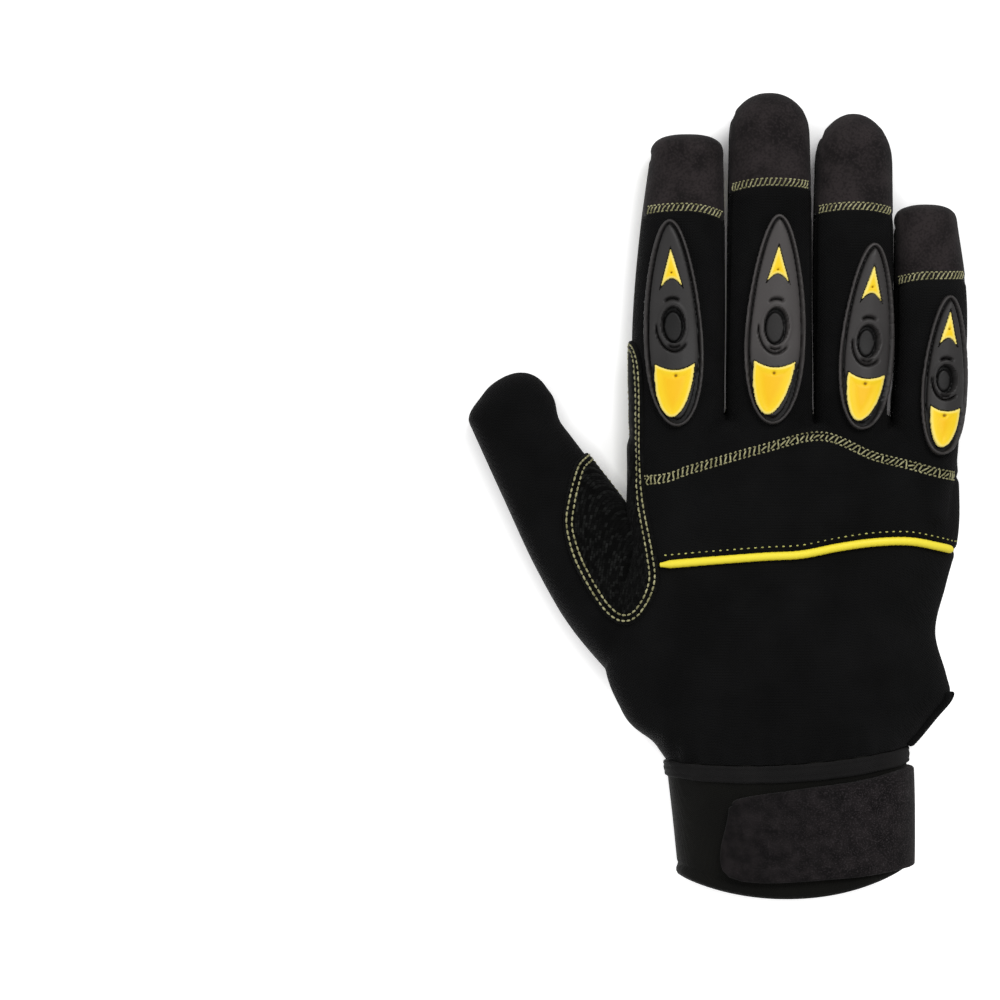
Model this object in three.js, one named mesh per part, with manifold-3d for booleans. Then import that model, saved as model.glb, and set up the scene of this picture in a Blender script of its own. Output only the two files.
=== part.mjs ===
// Mechanic glove for the right hand, lying palm down on a surface, filled as a worn glove is.
// Millimetres. The fingers point along +Y, the thumb is on the -X side, the back of the hand faces +Z.

import * as THREE from 'three';
import { mergeVertices } from 'three/addons/utils/BufferGeometryUtils.js';
import Module from 'manifold-3d';

const wasm = await Module();
wasm.setup();

// Driving dimensions: the hand
const FINGER_WIDTH = 25.4; // middle finger, side to side
const FINGER_HEIGHT = 23; // middle finger, palm side to back
const FINGER_SPACING = 0.9; // air between two fingers that lie side by side
const FINGER_LENGTH = 100.8; // middle finger, from the crotch line to the tip
const PALM_LENGTH = 103; // cuff seam to crotch line
const PALM_HEIGHT = 36;
const PALM_FRONT_SIDE_DROP = 1.2; // the crotch line runs lower on the little finger's side
const THUMB_WIDTH = 25;
const THUMB_HEIGHT = 23;
const THUMB_LENGTH = 110; // from its root inside the palm to its tip
const THUMB_SPREAD = -31; // degrees from the finger direction

// Driving dimensions: the cuff
const CUFF_WIDTH = 73; // at the seam to the hand
const CUFF_MOUTH_WIDTH = 69.5;
const CUFF_HEIGHT = 42;
const CUFF_LENGTH = 40.5; // along the middle of the wrist
const CUFF_WALL = 2.6;
const CUFF_EDGE_RISE = 7; // how far the free edge curves up towards both sides
const CUFF_EDGE_SIDE_RISE = 1.5; // the free edge runs higher on the little finger's side
const CUFF_SEAM_RISE = 2.6; // the same for the seam between cuff and hand
const CUFF_SEAM_SIDE_RISE = 2.2; // the seam runs higher on the little finger's side
const HEM_BAND_WIDTH = 4.2;
const HEM_BAND_THICKNESS = 0.9;
const STRAP_THICKNESS = 2.0;

// Driving dimensions: materials and seams
const WALL = 1.8; // leather or knit with its lining
const GAP = 0.3; // between two pieces that are sewn or glued together
const PATCH_THICKNESS = 1.2;
const PIPING_DIAMETER = 2.4;
const CAP_LENGTH = 30.5; // fingertip cap of the middle finger, on the back
const CAP_WRAP = 6; // how far a cap reaches round the tip to the palm side
const FORK_ROOT = 6; // how far a finger fork reaches below the crotch line

// Driving dimensions: the finger guards
const GUARD_LENGTH = 64;
const GUARD_WIDTH = 18.9;
const GUARD_BASE = 1.3;
const GUARD_RIM_HEIGHT = 0.8;
const GUARD_RIM_WIDTH = 0.9;
const GUARD_BOSS_HEIGHT = 1.6;
const GUARD_GROOVE = 1.1; // channel between rim and boss
const INSERT_DEPTH = 1.2; // of the yellow inserts in the boss
const INSERT_CLEARANCE = 0.3;

// Fineness of the faceted solids
const FINGER_SIDES = 12;
const PALM_SIDES = 20;
const GUARD_STEPS = 8; // along each side of a guard's outline
const REACH = 400; // a length well past the glove, for the bodies that cut it

// Shape of the sections: 2 is an ellipse, and above 2 the corners fill out
const PALM_SQUARENESS = 2.5;
const FINGER_SQUARENESS = 2.4;
const PALM_FRONT_SHAPE = 2.6;
const THUMB_TIP_SHAPE = 2.3;
const SCOOP_SHAPE = 2.6;

// Colours
const BLACK_KNIT = { color: 0x101012, roughness: 0.85, metalness: 0 };
const DARK_LEATHER = { color: 0x2c2927, roughness: 0.75, metalness: 0 };
const GRIP_FABRIC = { color: 0x3a3a3b, roughness: 0.8, metalness: 0 };
const NEOPRENE = { color: 0x1b1a1b, roughness: 0.9, metalness: 0 };
const LOOP_FABRIC = { color: 0x2d2a2a, roughness: 0.95, metalness: 0 };
const GUARD_RUBBER = { color: 0x2f3031, roughness: 0.5, metalness: 0 };
const YELLOW_RUBBER = { color: 0xf4c81e, roughness: 0.45, metalness: 0 };
const YELLOW_PIPING = { color: 0xf0d63a, roughness: 0.5, metalness: 0 };

// Sizes that follow from them
const REST = PATCH_THICKNESS + GAP; // the grip patches lie between the leather and the surface
const PITCH = FINGER_WIDTH + FINGER_SPACING;
const PALM_WIDTH = 3.82 * PITCH;
const PALM_LEFT = -1.654 * PITCH;
const CUFF_LEFT = -0.43 * CUFF_WIDTH;
const WRIST_Y = CUFF_LENGTH;
const CROTCH_Y = WRIST_Y + PALM_LENGTH;
const FINGER_ROOT = 0.29 * PALM_LENGTH; // how far a finger's form runs back inside the palm
const LOWER_SEAM_Z = REST + 0.36 * FINGER_HEIGHT;
const UPPER_SEAM_Z = REST + 0.7 * FINGER_HEIGHT;
const SIDE_SEAM_Z = REST + 0.5 * FINGER_HEIGHT;
const PALM_SEAM_Z = REST + 0.42 * PALM_HEIGHT;
const THUMB_SEAM_Z = REST + 0.38 * THUMB_HEIGHT;

// The palm's sections from the wrist to the finger crotches. along is a share of PALM_LENGTH. left and
// right go from 0, the cuff's edge, to 1, the palm's edge. swell goes from 0, the cuff's height, to 1, the
// palm's.
const PALM_SECTIONS = [
  { along: 0, left: 0, right: 0, swell: 0 },
  { along: 0.055, left: 0.4, right: 0.32, swell: 0.3 },
  { along: 0.1, left: 0.9, right: 0.56, swell: 0.5 },
  { along: 0.16, left: 1.22, right: 0.86, swell: 0.65 },
  { along: 0.21, left: 1.42, right: 0.8, swell: 0.7 },
  { along: 0.35, left: 1.6, right: 0.57, swell: 0.8 },
  { along: 0.5, left: 1.35, right: 0.78, swell: 0.85 },
  { along: 0.65, left: 1.0, right: 1.02, swell: 1.05 },
  { along: 0.8, left: 0.9, right: 1.05, swell: 1.4 },
  { along: 0.92, left: 0.9, right: 1.0, swell: 2.0 },
];
const PALM_FRONT = 0.075; // the rounded front of the palm, as a share of PALM_LENGTH

// The fingers. axis is in pitches from the middle finger, reach is a share of FINGER_LENGTH, cap of
// CAP_LENGTH. left and right are the sides in half finger widths from root to tip, at SIDE_PLACES.
const SIDE_PLACES = [0, 0.3, 0.52, 0.78, 1];
const FINGERS = [
  {
    name: 'index',
    axis: -1,
    reach: 0.873,
    cap: 0.83,
    tipLength: 0.5,
    tipShape: 2.7,
    left: [1.05, 1.2, 1.2, 1.02, 0.76],
    right: [0.95, 0.97, 1.0, 1.0, 0.97],
  },
  {
    name: 'middle',
    axis: 0,
    reach: 1,
    cap: 1,
    tipLength: 1.05,
    tipShape: 2.1,
    left: [0.95, 1.02, 1.0, 0.98, 0.94],
    right: [0.95, 1.02, 1.02, 1.02, 0.98],
  },
  {
    name: 'ring',
    axis: 0.98,
    reach: 0.937,
    cap: 1.03,
    tipLength: 1.2,
    tipShape: 1.95,
    left: [0.9, 0.93, 0.95, 0.95, 0.9],
    right: [0.7, 0.78, 0.95, 0.95, 0.94],
  },
  {
    name: 'little',
    axis: 1.865,
    reach: 0.66,
    cap: 0.81,
    tipLength: 0.42,
    tipShape: 2.5,
    left: [0.8, 0.95, 0.84, 0.83, 0.82],
    right: [0.5, 0.7, 0.86, 0.87, 0.66],
  },
];

// Height of a finger from root to tip, in finger heights, at the shares of SIDE_PLACES.
const FINGER_HEIGHTS = [1.34, 1.24, 1.08, 1.0, 0.94];

// The thumb from root to tip: width and height are shares of THUMB_WIDTH and THUMB_HEIGHT.
const THUMB_SECTIONS = [
  { along: 0, width: 0.8, height: 1.0 },
  { along: 0.16, width: 1.14, height: 1.2 },
  { along: 0.32, width: 1.34, height: 1.2 },
  { along: 0.52, width: 1.32, height: 1.1 },
  { along: 0.76, width: 1.12, height: 1.0 },
  { along: 1, width: 0.9, height: 0.92 },
];

// Curved lines across the back, from the thumb side to the little finger's side.
// across is a share of PALM_WIDTH from the palm's left edge, along a share of PALM_LENGTH from the wrist.
const KNUCKLE_LINE = [
  { across: -0.3, along: 0.82 },
  { across: 0.067, along: 0.827 },
  { across: 0.192, along: 0.859 },
  { across: 0.407, along: 0.919 },
  { across: 0.584, along: 0.955 },
  { across: 0.735, along: 0.898 },
  { across: 0.842, along: 0.872 },
  { across: 0.985, along: 0.839 },
  { across: 1.2, along: 0.83 },
];
const PIPING_LINE = [
  { across: 0.112, along: 0.578 },
  { across: 0.246, along: 0.59 },
  { across: 0.407, along: 0.602 },
  { across: 0.517, along: 0.608 },
  { across: 0.626, along: 0.629 },
  { across: 0.735, along: 0.644 },
  { across: 0.842, along: 0.647 },
  { across: 0.93, along: 0.632 },
  { across: 0.985, along: 0.619 },
];

// Outline of the palm's grip patch, in the same shares, from the index finger's lobe clockwise.
const PALM_PATCH = [
  { across: 0.035, along: 1.236 },
  { across: 0.098, along: 1.227 },
  { across: 0.156, along: 1.2 },
  { across: 0.192, along: 1.138 },
  { across: 0.201, along: 1.028 },
  { across: 0.253, along: 0.957 },
  { across: 0.33, along: 1.008 },
  { across: 0.388, along: 1.15 },
  { across: 0.43, along: 1.191 },
  { across: 0.467, along: 1.11 },
  { across: 0.485, along: 1.008 },
  { across: 0.54, along: 0.955 },
  { across: 0.61, along: 0.98 },
  { across: 0.65, along: 1.098 },
  { across: 0.681, along: 1.141 },
  { across: 0.729, along: 1.07 },
  { across: 0.76, along: 0.969 },
  { across: 0.806, along: 0.901 },
  { across: 0.88, along: 0.931 },
  { across: 0.95, along: 0.99 },
  { across: 1.09, along: 0.93 },
  { across: 1.1, along: 0.7 },
  { across: 1.08, along: 0.5 },
  { across: 0.972, along: 0.356 },
  { across: 0.945, along: 0.22 },
  { across: 0.86, along: 0.09 },
  { across: 0.76, along: 0.045 },
  { across: 0.64, along: 0.045 },
  { across: 0.43, along: 0.08 },
  { across: 0.2, along: 0.185 },
  { across: 0.13, along: 0.25 },
  { across: 0.1, along: 0.34 },
  { across: 0.13, along: 0.42 },
  { across: 0.21, along: 0.445 },
  { across: 0.29, along: 0.42 },
  { across: 0.46, along: 0.352 },
  { across: 0.67, along: 0.315 },
  { across: 0.74, along: 0.335 },
  { across: 0.755, along: 0.39 },
  { across: 0.68, along: 0.465 },
  { across: 0.52, along: 0.538 },
  { across: 0.27, along: 0.62 },
  { across: 0.1, along: 0.69 },
  { across: 0.03, along: 0.745 },
  { across: 0.01, along: 0.95 },
];

// Outline of the saddle patch seen from above, in the same shares. It leaves the glove over the crotch.
const SADDLE_PATCH = [
  { across: -0.128, along: 0.905 },
  { across: -0.166, along: 0.856 },
  { across: -0.194, along: 0.703 },
  { across: -0.16, along: 0.575 },
  { across: -0.07, along: 0.435 },
  { across: 0.0, along: 0.402 },
  { across: 0.055, along: 0.44 },
  { across: 0.092, along: 0.525 },
  { across: 0.085, along: 0.62 },
  { across: 0.06, along: 0.76 },
  { across: 0.05, along: 0.9 },
  { across: 0.045, along: 1.17 },
  { across: 0.0, along: 1.25 },
  { across: -0.05, along: 1.17 },
  { across: -0.075, along: 0.95 },
];

// Grip patches on the fingers: their two sides from bottom to top. along is a share of the finger's reach
// from the crotch line, left and right are shares of half the finger's width from its axis.
const FINGER_PATCHES = {
  index: [
    { along: 0.27, left: -0.25, right: 0.3 },
    { along: 0.31, left: -0.7, right: 0.55 },
    { along: 0.35, left: -0.88, right: 0.72 },
    { along: 0.5, left: -0.86, right: 0.74 },
    { along: 0.58, left: -0.82, right: 0.35 },
    { along: 0.64, left: -0.8, right: -0.02 },
    { along: 0.69, left: -0.78, right: 0.4 },
    { along: 0.75, left: -0.76, right: 0.86 },
    { along: 0.85, left: -0.72, right: 0.82 },
    { along: 0.91, left: -0.6, right: 0.5 },
    { along: 0.94, left: -0.3, right: 0.1 },
  ],
  middle: [
    { along: 0.24, left: 0.05, right: 0.22 },
    { along: 0.27, left: -0.3, right: 0.46 },
    { along: 0.33, left: -0.44, right: 0.6 },
    { along: 0.43, left: -0.32, right: 0.46 },
    { along: 0.56, left: -0.26, right: 0.42 },
    { along: 0.65, left: -0.34, right: 0.44 },
    { along: 0.76, left: -0.56, right: 0.5 },
    { along: 0.82, left: -0.55, right: 0.42 },
    { along: 0.865, left: -0.2, right: 0.2 },
  ],
};

// The guards. across is the middle of the guard from the finger's middle line, as a share of the finger's
// half width there, along a share of FINGER_LENGTH from the crotch line, size a share of the guard's size,
// turn is in degrees.
const GUARDS = {
  index: { across: -0.215, along: 0.295, size: 0.985, turn: 2 },
  middle: { across: 0.0891, along: 0.31, size: 1, turn: -1.5 },
  ring: { across: 0.258, along: 0.255, size: 0.89, turn: -3 },
  little: { across: 0.37, along: 0.14, size: 0.76, turn: -3 },
};

// Closed solid from rings of points: the first ring is closed by a fan, and so is the last.
function loft(rings) {
  const sides = rings[0].length;
  const positions = [];
  const triangles = [];
  for (const ring of rings) {
    for (const point of ring) positions.push(point.x, point.y, point.z);
  }
  for (const ring of [rings[0], rings[rings.length - 1]]) {
    const middle = new THREE.Vector3();
    for (const point of ring) middle.addScaledVector(point, 1 / sides);
    positions.push(middle.x, middle.y, middle.z);
  }
  const startMiddle = rings.length * sides;
  const endMiddle = startMiddle + 1;
  const lastRing = (rings.length - 1) * sides;
  for (let i = 0; i < sides; i += 1) {
    const next = (i + 1) % sides;
    for (let r = 0; r < rings.length - 1; r += 1) {
      const a = r * sides + i;
      const b = r * sides + next;
      triangles.push(a, a + sides, b, b, a + sides, b + sides);
    }
    triangles.push(startMiddle, i, next);
    triangles.push(endMiddle, lastRing + next, lastRing + i);
  }
  return solidFrom(positions, triangles);
}

function solidFrom(positions, triangles) {
  const mesh = new wasm.Mesh({
    numProp: 3,
    vertProperties: new Float32Array(positions),
    triVerts: new Uint32Array(triangles),
  });
  return new wasm.Manifold(mesh);
}

function solidFromGeometry(geometry) {
  geometry.deleteAttribute('normal');
  geometry.deleteAttribute('uv');
  const merged = mergeVertices(geometry, 1e-5);
  return solidFrom(merged.attributes.position.array, merged.index.array);
}

// Box between two corners, for cutting.
function block(low, high) {
  const geometry = new THREE.BoxGeometry(high[0] - low[0], high[1] - low[1], high[2] - low[2]);
  geometry.translate((low[0] + high[0]) / 2, (low[1] + high[1]) / 2, (low[2] + high[2]) / 2);
  return solidFromGeometry(geometry);
}

// Upright prism over an outline in the ground plane.
function prism(outline, low = -REACH, high = REACH) {
  const geometry = new THREE.ExtrudeGeometry(new THREE.Shape(outline), {
    depth: high - low,
    bevelEnabled: false,
  });
  geometry.translate(0, 0, low);
  return solidFromGeometry(geometry);
}

function joined(solids) {
  return solids.reduce((whole, solid) => whole.add(solid));
}

function mix(a, b, share) {
  return a + (b - a) * share;
}

// Signed power of a sine or cosine: above 2, squareness makes a circle squarer.
function squared(value, squareness) {
  return Math.sign(value) * Math.abs(value) ** (2 / squareness);
}

// One ring of a filled glove part, flattened where it rests. A station holds the ring's middle (x, y), the
// turn of its plane, the half width to each side, the height, and how far its edge rises and tilts.
function sectionRing(station, grow, sides) {
  const turn = THREE.MathUtils.degToRad(station.turn ?? 0);
  const shrink = station.shrink ?? 1;
  const rest = station.rest - grow;
  const middleZ = station.rest + 0.47 * station.height;
  const up = (0.53 * station.height + grow) * shrink;
  const down = (0.55 * station.height + grow) * shrink;
  const ring = [];
  for (let i = 0; i < sides; i += 1) {
    const angle = (2 * Math.PI * i) / sides;
    const cosine = squared(Math.cos(angle), station.squareness);
    const sine = squared(Math.sin(angle), station.squareness);
    const across = cosine * (station.halfWidth + grow) * shrink;
    const along = (station.rise ?? 0) * cosine * cosine + (station.tilt ?? 0) * cosine;
    const x = station.x + across * Math.cos(turn) + along * Math.sin(turn);
    const y = station.y - across * Math.sin(turn) + along * Math.cos(turn);
    const z = middleZ + sine * (sine > 0 ? up : down);
    ring.push(new THREE.Vector3(x, y, Math.max(z, rest)));
  }
  return ring;
}

// Rings of the rounded end after the last station. The last of them is tiny and closes the end.
function tipRings(last, tipLength, tipShape, grow, sides) {
  const turn = THREE.MathUtils.degToRad(last.turn ?? 0);
  const rings = [];
  for (const degrees of [28, 52, 72, 87]) {
    const angle = THREE.MathUtils.degToRad(degrees);
    const along = squared(Math.sin(angle), tipShape) * (tipLength + grow);
    const station = {
      ...last,
      x: last.x + along * Math.sin(turn),
      y: last.y + along * Math.cos(turn),
      shrink: squared(Math.cos(angle), tipShape),
    };
    rings.push(sectionRing(station, grow, sides));
  }
  return rings;
}

function palmStation(row) {
  const left = mix(CUFF_LEFT, PALM_LEFT, row.left);
  const right = mix(CUFF_LEFT + CUFF_WIDTH, PALM_LEFT + PALM_WIDTH, row.right);
  const seam = 1 - row.along;
  return {
    x: (left + right) / 2,
    y: WRIST_Y + row.along * PALM_LENGTH,
    halfWidth: (right - left) / 2,
    height: mix(CUFF_HEIGHT, PALM_HEIGHT, row.swell),
    rest: REST,
    rise: CUFF_SEAM_RISE * seam,
    tilt: CUFF_SEAM_SIDE_RISE * seam - PALM_FRONT_SIDE_DROP * row.along,
    squareness: PALM_SQUARENESS,
  };
}

// The palm's outer form, grown by a distance. Its wrist end is open to the cuff when it is shrunk.
function palmForm(grow) {
  const stations = PALM_SECTIONS.map(palmStation);
  const last = stations[stations.length - 1];
  const rings = stations.map((station) => sectionRing(station, grow, PALM_SIDES));
  if (grow < 0) {
    const insideCuff = { ...stations[0], y: stations[0].y - CUFF_LENGTH };
    rings.unshift(sectionRing(insideCuff, grow, PALM_SIDES));
  }
  rings.push(...tipRings(last, PALM_FRONT * PALM_LENGTH, PALM_FRONT_SHAPE, grow, PALM_SIDES));
  return loft(rings);
}

function fingerStations(finger) {
  const half = FINGER_WIDTH / 2;
  const tipLength = finger.tipLength * half;
  const straight = FINGER_ROOT + finger.reach * FINGER_LENGTH - tipLength;
  return SIDE_PLACES.map((share, i) => ({
    x: finger.axis * PITCH + ((finger.right[i] - finger.left[i]) / 2) * half,
    y: CROTCH_Y - FINGER_ROOT + share * straight,
    halfWidth: ((finger.right[i] + finger.left[i]) / 2) * half,
    height: FINGER_HEIGHTS[i] * FINGER_HEIGHT,
    rest: REST,
    squareness: FINGER_SQUARENESS,
  }));
}

function fingerForm(finger, grow) {
  const stations = fingerStations(finger);
  const rings = stations.map((station) => sectionRing(station, grow, FINGER_SIDES));
  const tipLength = (finger.tipLength * FINGER_WIDTH) / 2;
  rings.push(...tipRings(stations[stations.length - 1], tipLength, finger.tipShape, grow, FINGER_SIDES));
  return loft(rings);
}

function thumbForm(grow) {
  const turn = THREE.MathUtils.degToRad(THUMB_SPREAD);
  const rootX = PALM_LEFT + 0.136 * PALM_WIDTH;
  const rootY = WRIST_Y + 0.21 * PALM_LENGTH;
  const tipLength = 0.4 * THUMB_WIDTH;
  const stations = THUMB_SECTIONS.map((row) => ({
    x: rootX + Math.sin(turn) * row.along * (THUMB_LENGTH - tipLength),
    y: rootY + Math.cos(turn) * row.along * (THUMB_LENGTH - tipLength),
    turn: THUMB_SPREAD,
    halfWidth: (row.width * THUMB_WIDTH) / 2,
    height: row.height * THUMB_HEIGHT,
    rest: REST,
    squareness: FINGER_SQUARENESS,
  }));
  const rings = stations.map((station) => sectionRing(station, grow, FINGER_SIDES));
  rings.push(...tipRings(stations[stations.length - 1], tipLength, THUMB_TIP_SHAPE, grow, FINGER_SIDES));
  return loft(rings);
}

// The whole hand without the cuff, grown or shrunk by a distance.
function handForm(grow) {
  return joined([palmForm(grow), thumbForm(grow), ...FINGERS.map((finger) => fingerForm(finger, grow))]);
}

// Point on the palm from its shares across and along.
function palmPoint(row) {
  return new THREE.Vector2(PALM_LEFT + row.across * PALM_WIDTH, WRIST_Y + row.along * PALM_LENGTH);
}

// Smooth closed outline through a table's points.
function smoothOutline(points, count) {
  const flat = points.map((point) => new THREE.Vector3(point.x, point.y, 0));
  const curve = new THREE.CatmullRomCurve3(flat, true, 'centripetal');
  return curve.getPoints(count).slice(0, count).map((point) => new THREE.Vector2(point.x, point.y));
}

// Everything on the finger side of a line across the back, moved along the hand by a distance.
function beyondLine(table, shift) {
  const points = table.map(palmPoint).map((point) => new THREE.Vector3(point.x, point.y + shift, 0));
  const curve = new THREE.CatmullRomCurve3(points, false, 'centripetal').getPoints(24);
  const outline = curve.map((point) => new THREE.Vector2(point.x, point.y));
  const first = outline[0];
  const last = outline[outline.length - 1];
  outline.unshift(new THREE.Vector2(-REACH, REACH), new THREE.Vector2(-REACH, first.y));
  outline.push(new THREE.Vector2(REACH, last.y), new THREE.Vector2(REACH, REACH));
  return prism(outline);
}

const axisX = (finger) => finger.axis * PITCH;
const tipY = (finger) => CROTCH_Y + finger.reach * FINGER_LENGTH;

// Middle of the air between two neighbouring fingers.
function betweenX(first, second) {
  const rightOfFirst = axisX(first) + (Math.max(...first.right.slice(2)) * FINGER_WIDTH) / 2;
  const leftOfSecond = axisX(second) - (Math.max(...second.left.slice(2)) * FINGER_WIDTH) / 2;
  return (rightOfFirst + leftOfSecond) / 2;
}

// Space of one fingertip cap: the back from the cap seam on, and all of the tip.
function capSpace(finger, grow) {
  const place = FINGERS.indexOf(finger);
  const left = place === 0 ? -REACH : betweenX(FINGERS[place - 1], finger);
  const right = place === FINGERS.length - 1 ? REACH : betweenX(finger, FINGERS[place + 1]);
  const capY = tipY(finger) - finger.cap * CAP_LENGTH - grow;
  const wrapY = tipY(finger) - CAP_WRAP - grow;
  const back = block([left, capY, SIDE_SEAM_Z - grow], [right, REACH, REACH]);
  const tip = block([left, wrapY, -REACH], [right, REACH, REACH]);
  return back.add(tip);
}

// Space of the fork between two neighbouring fingers.
function forkSpace(first, second, grow) {
  const low = [axisX(first) - grow, CROTCH_Y - FORK_ROOT - grow, LOWER_SEAM_Z - grow];
  const high = [axisX(second) + grow, REACH, UPPER_SEAM_Z + grow];
  return block(low, high);
}

// Space below the seam that joins the palm panel to the back.
function palmSpace(grow) {
  const forkY = CROTCH_Y - FORK_ROOT;
  const fromY = forkY - WALL;
  const outerLeft = axisX(FINGERS[0]) + grow;
  const outerRight = axisX(FINGERS[3]) - grow;
  return joined([
    block([PALM_LEFT - grow, -REACH, -REACH], [REACH, forkY + grow, PALM_SEAM_Z + grow]),
    block([-REACH, -REACH, -REACH], [axisX(FINGERS[0]), REACH, THUMB_SEAM_Z + grow]),
    block([-REACH, fromY, -REACH], [REACH, REACH, LOWER_SEAM_Z + grow]),
    block([PALM_LEFT - grow, fromY, -REACH], [outerLeft, REACH, SIDE_SEAM_Z + grow]),
    block([outerRight, fromY, -REACH], [REACH, REACH, SIDE_SEAM_Z + grow]),
  ]);
}

// Space of the thumb's back and of the strip beside the index finger that the saddle patch covers.
function thumbSpace(grow) {
  const strip = PALM_LEFT + 0.05 * PALM_WIDTH + grow;
  const side = PALM_LEFT - GAP + grow;
  const crotchY = WRIST_Y + 0.76 * PALM_LENGTH + grow;
  const outline = [
    [-REACH, -REACH],
    [strip, -REACH],
    [strip, crotchY],
    [side, crotchY],
    [side, REACH],
    [-REACH, REACH],
  ];
  return prism(outline.map(([x, y]) => new THREE.Vector2(x, y)));
}

// The cuff's form, grown by a distance, between two shares of its length. Each end keeps its own curve.
function cuffStation(share) {
  const width = mix(CUFF_MOUTH_WIDTH, CUFF_WIDTH, share);
  return {
    x: CUFF_LEFT + CUFF_WIDTH - width / 2,
    y: share * CUFF_LENGTH,
    halfWidth: width / 2,
    height: CUFF_HEIGHT,
    rest: REST,
    rise: mix(CUFF_EDGE_RISE, CUFF_SEAM_RISE, share),
    tilt: mix(CUFF_EDGE_SIDE_RISE, CUFF_SEAM_SIDE_RISE, share),
    squareness: PALM_SQUARENESS,
  };
}

function cuffForm(grow, from, to) {
  const rings = [];
  const steps = 4;
  for (let i = 0; i <= steps; i += 1) {
    const station = cuffStation(mix(from, to, i / steps));
    rings.push(sectionRing(station, grow, PALM_SIDES));
  }
  return loft(rings);
}

// The inner form runs past both ends, so that the shell is open there.
function cuffShell(outer, inner, from, to) {
  const past = 0.2;
  return cuffForm(outer, from, to).subtract(cuffForm(inner, from - past, to + past));
}

// A finger's patch or guard lies in a layer that follows the finger's form.
function fingerLayer(finger, low, high) {
  return fingerForm(finger, high).subtract(fingerForm(finger, low));
}

// Outline of a guard, a long oval that is narrower at its fingertip end, drawn in by a distance.
function guardOutline(guard, inset) {
  const halfLength = (guard.size * GUARD_LENGTH) / 2 - inset;
  const halfWidth = (guard.size * GUARD_WIDTH) / 2 - inset;
  const right = [];
  for (let i = 0; i <= GUARD_STEPS; i += 1) {
    const v = -Math.cos((Math.PI * i) / GUARD_STEPS);
    const breadth = (1 - v * v) ** 0.46 * (1 - 0.25 * v) * 0.98;
    right.push(new THREE.Vector2(halfWidth * breadth, halfLength * v));
  }
  const left = right.slice(1, -1).reverse().map((point) => new THREE.Vector2(-point.x, point.y));
  return [...right, ...left];
}

// Moves an outline drawn round a guard's middle to the guard's place on its finger.
function placedOnFinger(outline, finger, guard) {
  const y = CROTCH_Y + guard.along * FINGER_LENGTH;
  const stations = fingerStations(finger);
  const place = stations.findIndex((station) => station.y > y);
  const before = stations[place - 1];
  const after = stations[place];
  const part = (y - before.y) / (after.y - before.y);
  const halfWidth = mix(before.halfWidth, after.halfWidth, part);
  const middle = new THREE.Vector2(mix(before.x, after.x, part) + guard.across * halfWidth, y);
  const turn = THREE.MathUtils.degToRad(guard.turn);
  return outline.map((point) => point.clone().rotateAround(new THREE.Vector2(0, 0), turn).add(middle));
}

// The arrow between a guard's tip and its hole. Sizes are shares of the guard's.
function arrowOutline(guard, inset) {
  const length = 0.176 * GUARD_LENGTH * guard.size;
  const width = 0.37 * GUARD_WIDTH * guard.size;
  const top = 0.73 * 0.5 * GUARD_LENGTH * guard.size;
  return [
    new THREE.Vector2(0, top - 3 * inset),
    new THREE.Vector2(-width / 2 + inset, top - length + inset),
    new THREE.Vector2(0, top - 0.8 * length + inset),
    new THREE.Vector2(width / 2 - inset, top - length + inset),
  ];
}

// The scoop below a guard's hole: a sagging top edge and a rounded point below.
function scoopOutline(guard, inset) {
  const halfWidth = 0.345 * GUARD_WIDTH * guard.size - inset;
  const top = -0.195 * GUARD_LENGTH * guard.size - inset;
  const length = 0.268 * GUARD_LENGTH * guard.size - 2 * inset;
  const outline = [new THREE.Vector2(halfWidth, top), new THREE.Vector2(0, top - 0.12 * length)];
  const steps = 6;
  for (let i = 0; i <= steps; i += 1) {
    const angle = Math.PI + (Math.PI * i) / steps;
    const x = halfWidth * squared(Math.cos(angle), SCOOP_SHAPE);
    outline.push(new THREE.Vector2(x, top + length * squared(Math.sin(angle), 2)));
  }
  return outline.slice(0, -1);
}

const glove = new THREE.Group();

function addPiece(name, solid, look) {
  const mesh = solid.getMesh();
  const positions = new Float32Array((mesh.vertProperties.length / mesh.numProp) * 3);
  for (let i = 0; i < positions.length / 3; i += 1) {
    for (let k = 0; k < 3; k += 1) positions[3 * i + k] = mesh.vertProperties[mesh.numProp * i + k];
  }
  const geometry = new THREE.BufferGeometry();
  geometry.setAttribute('position', new THREE.BufferAttribute(positions, 3));
  geometry.setIndex(new THREE.BufferAttribute(new Uint32Array(mesh.triVerts), 1));
  geometry.computeVertexNormals();
  const piece = new THREE.Mesh(geometry, new THREE.MeshStandardMaterial(look));
  piece.name = name;
  glove.add(piece);
}

// The hand's shell, cut along its seams
const handShell = handForm(0).subtract(handForm(-WALL));
const seam = GAP / 2;
const capsCut = joined(FINGERS.map((finger) => capSpace(finger, seam)));
const forkPairs = [0, 1, 2].map((i) => [FINGERS[i], FINGERS[i + 1]]);
const forksCut = joined(forkPairs.map(([first, second]) => forkSpace(first, second, seam)));

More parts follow.
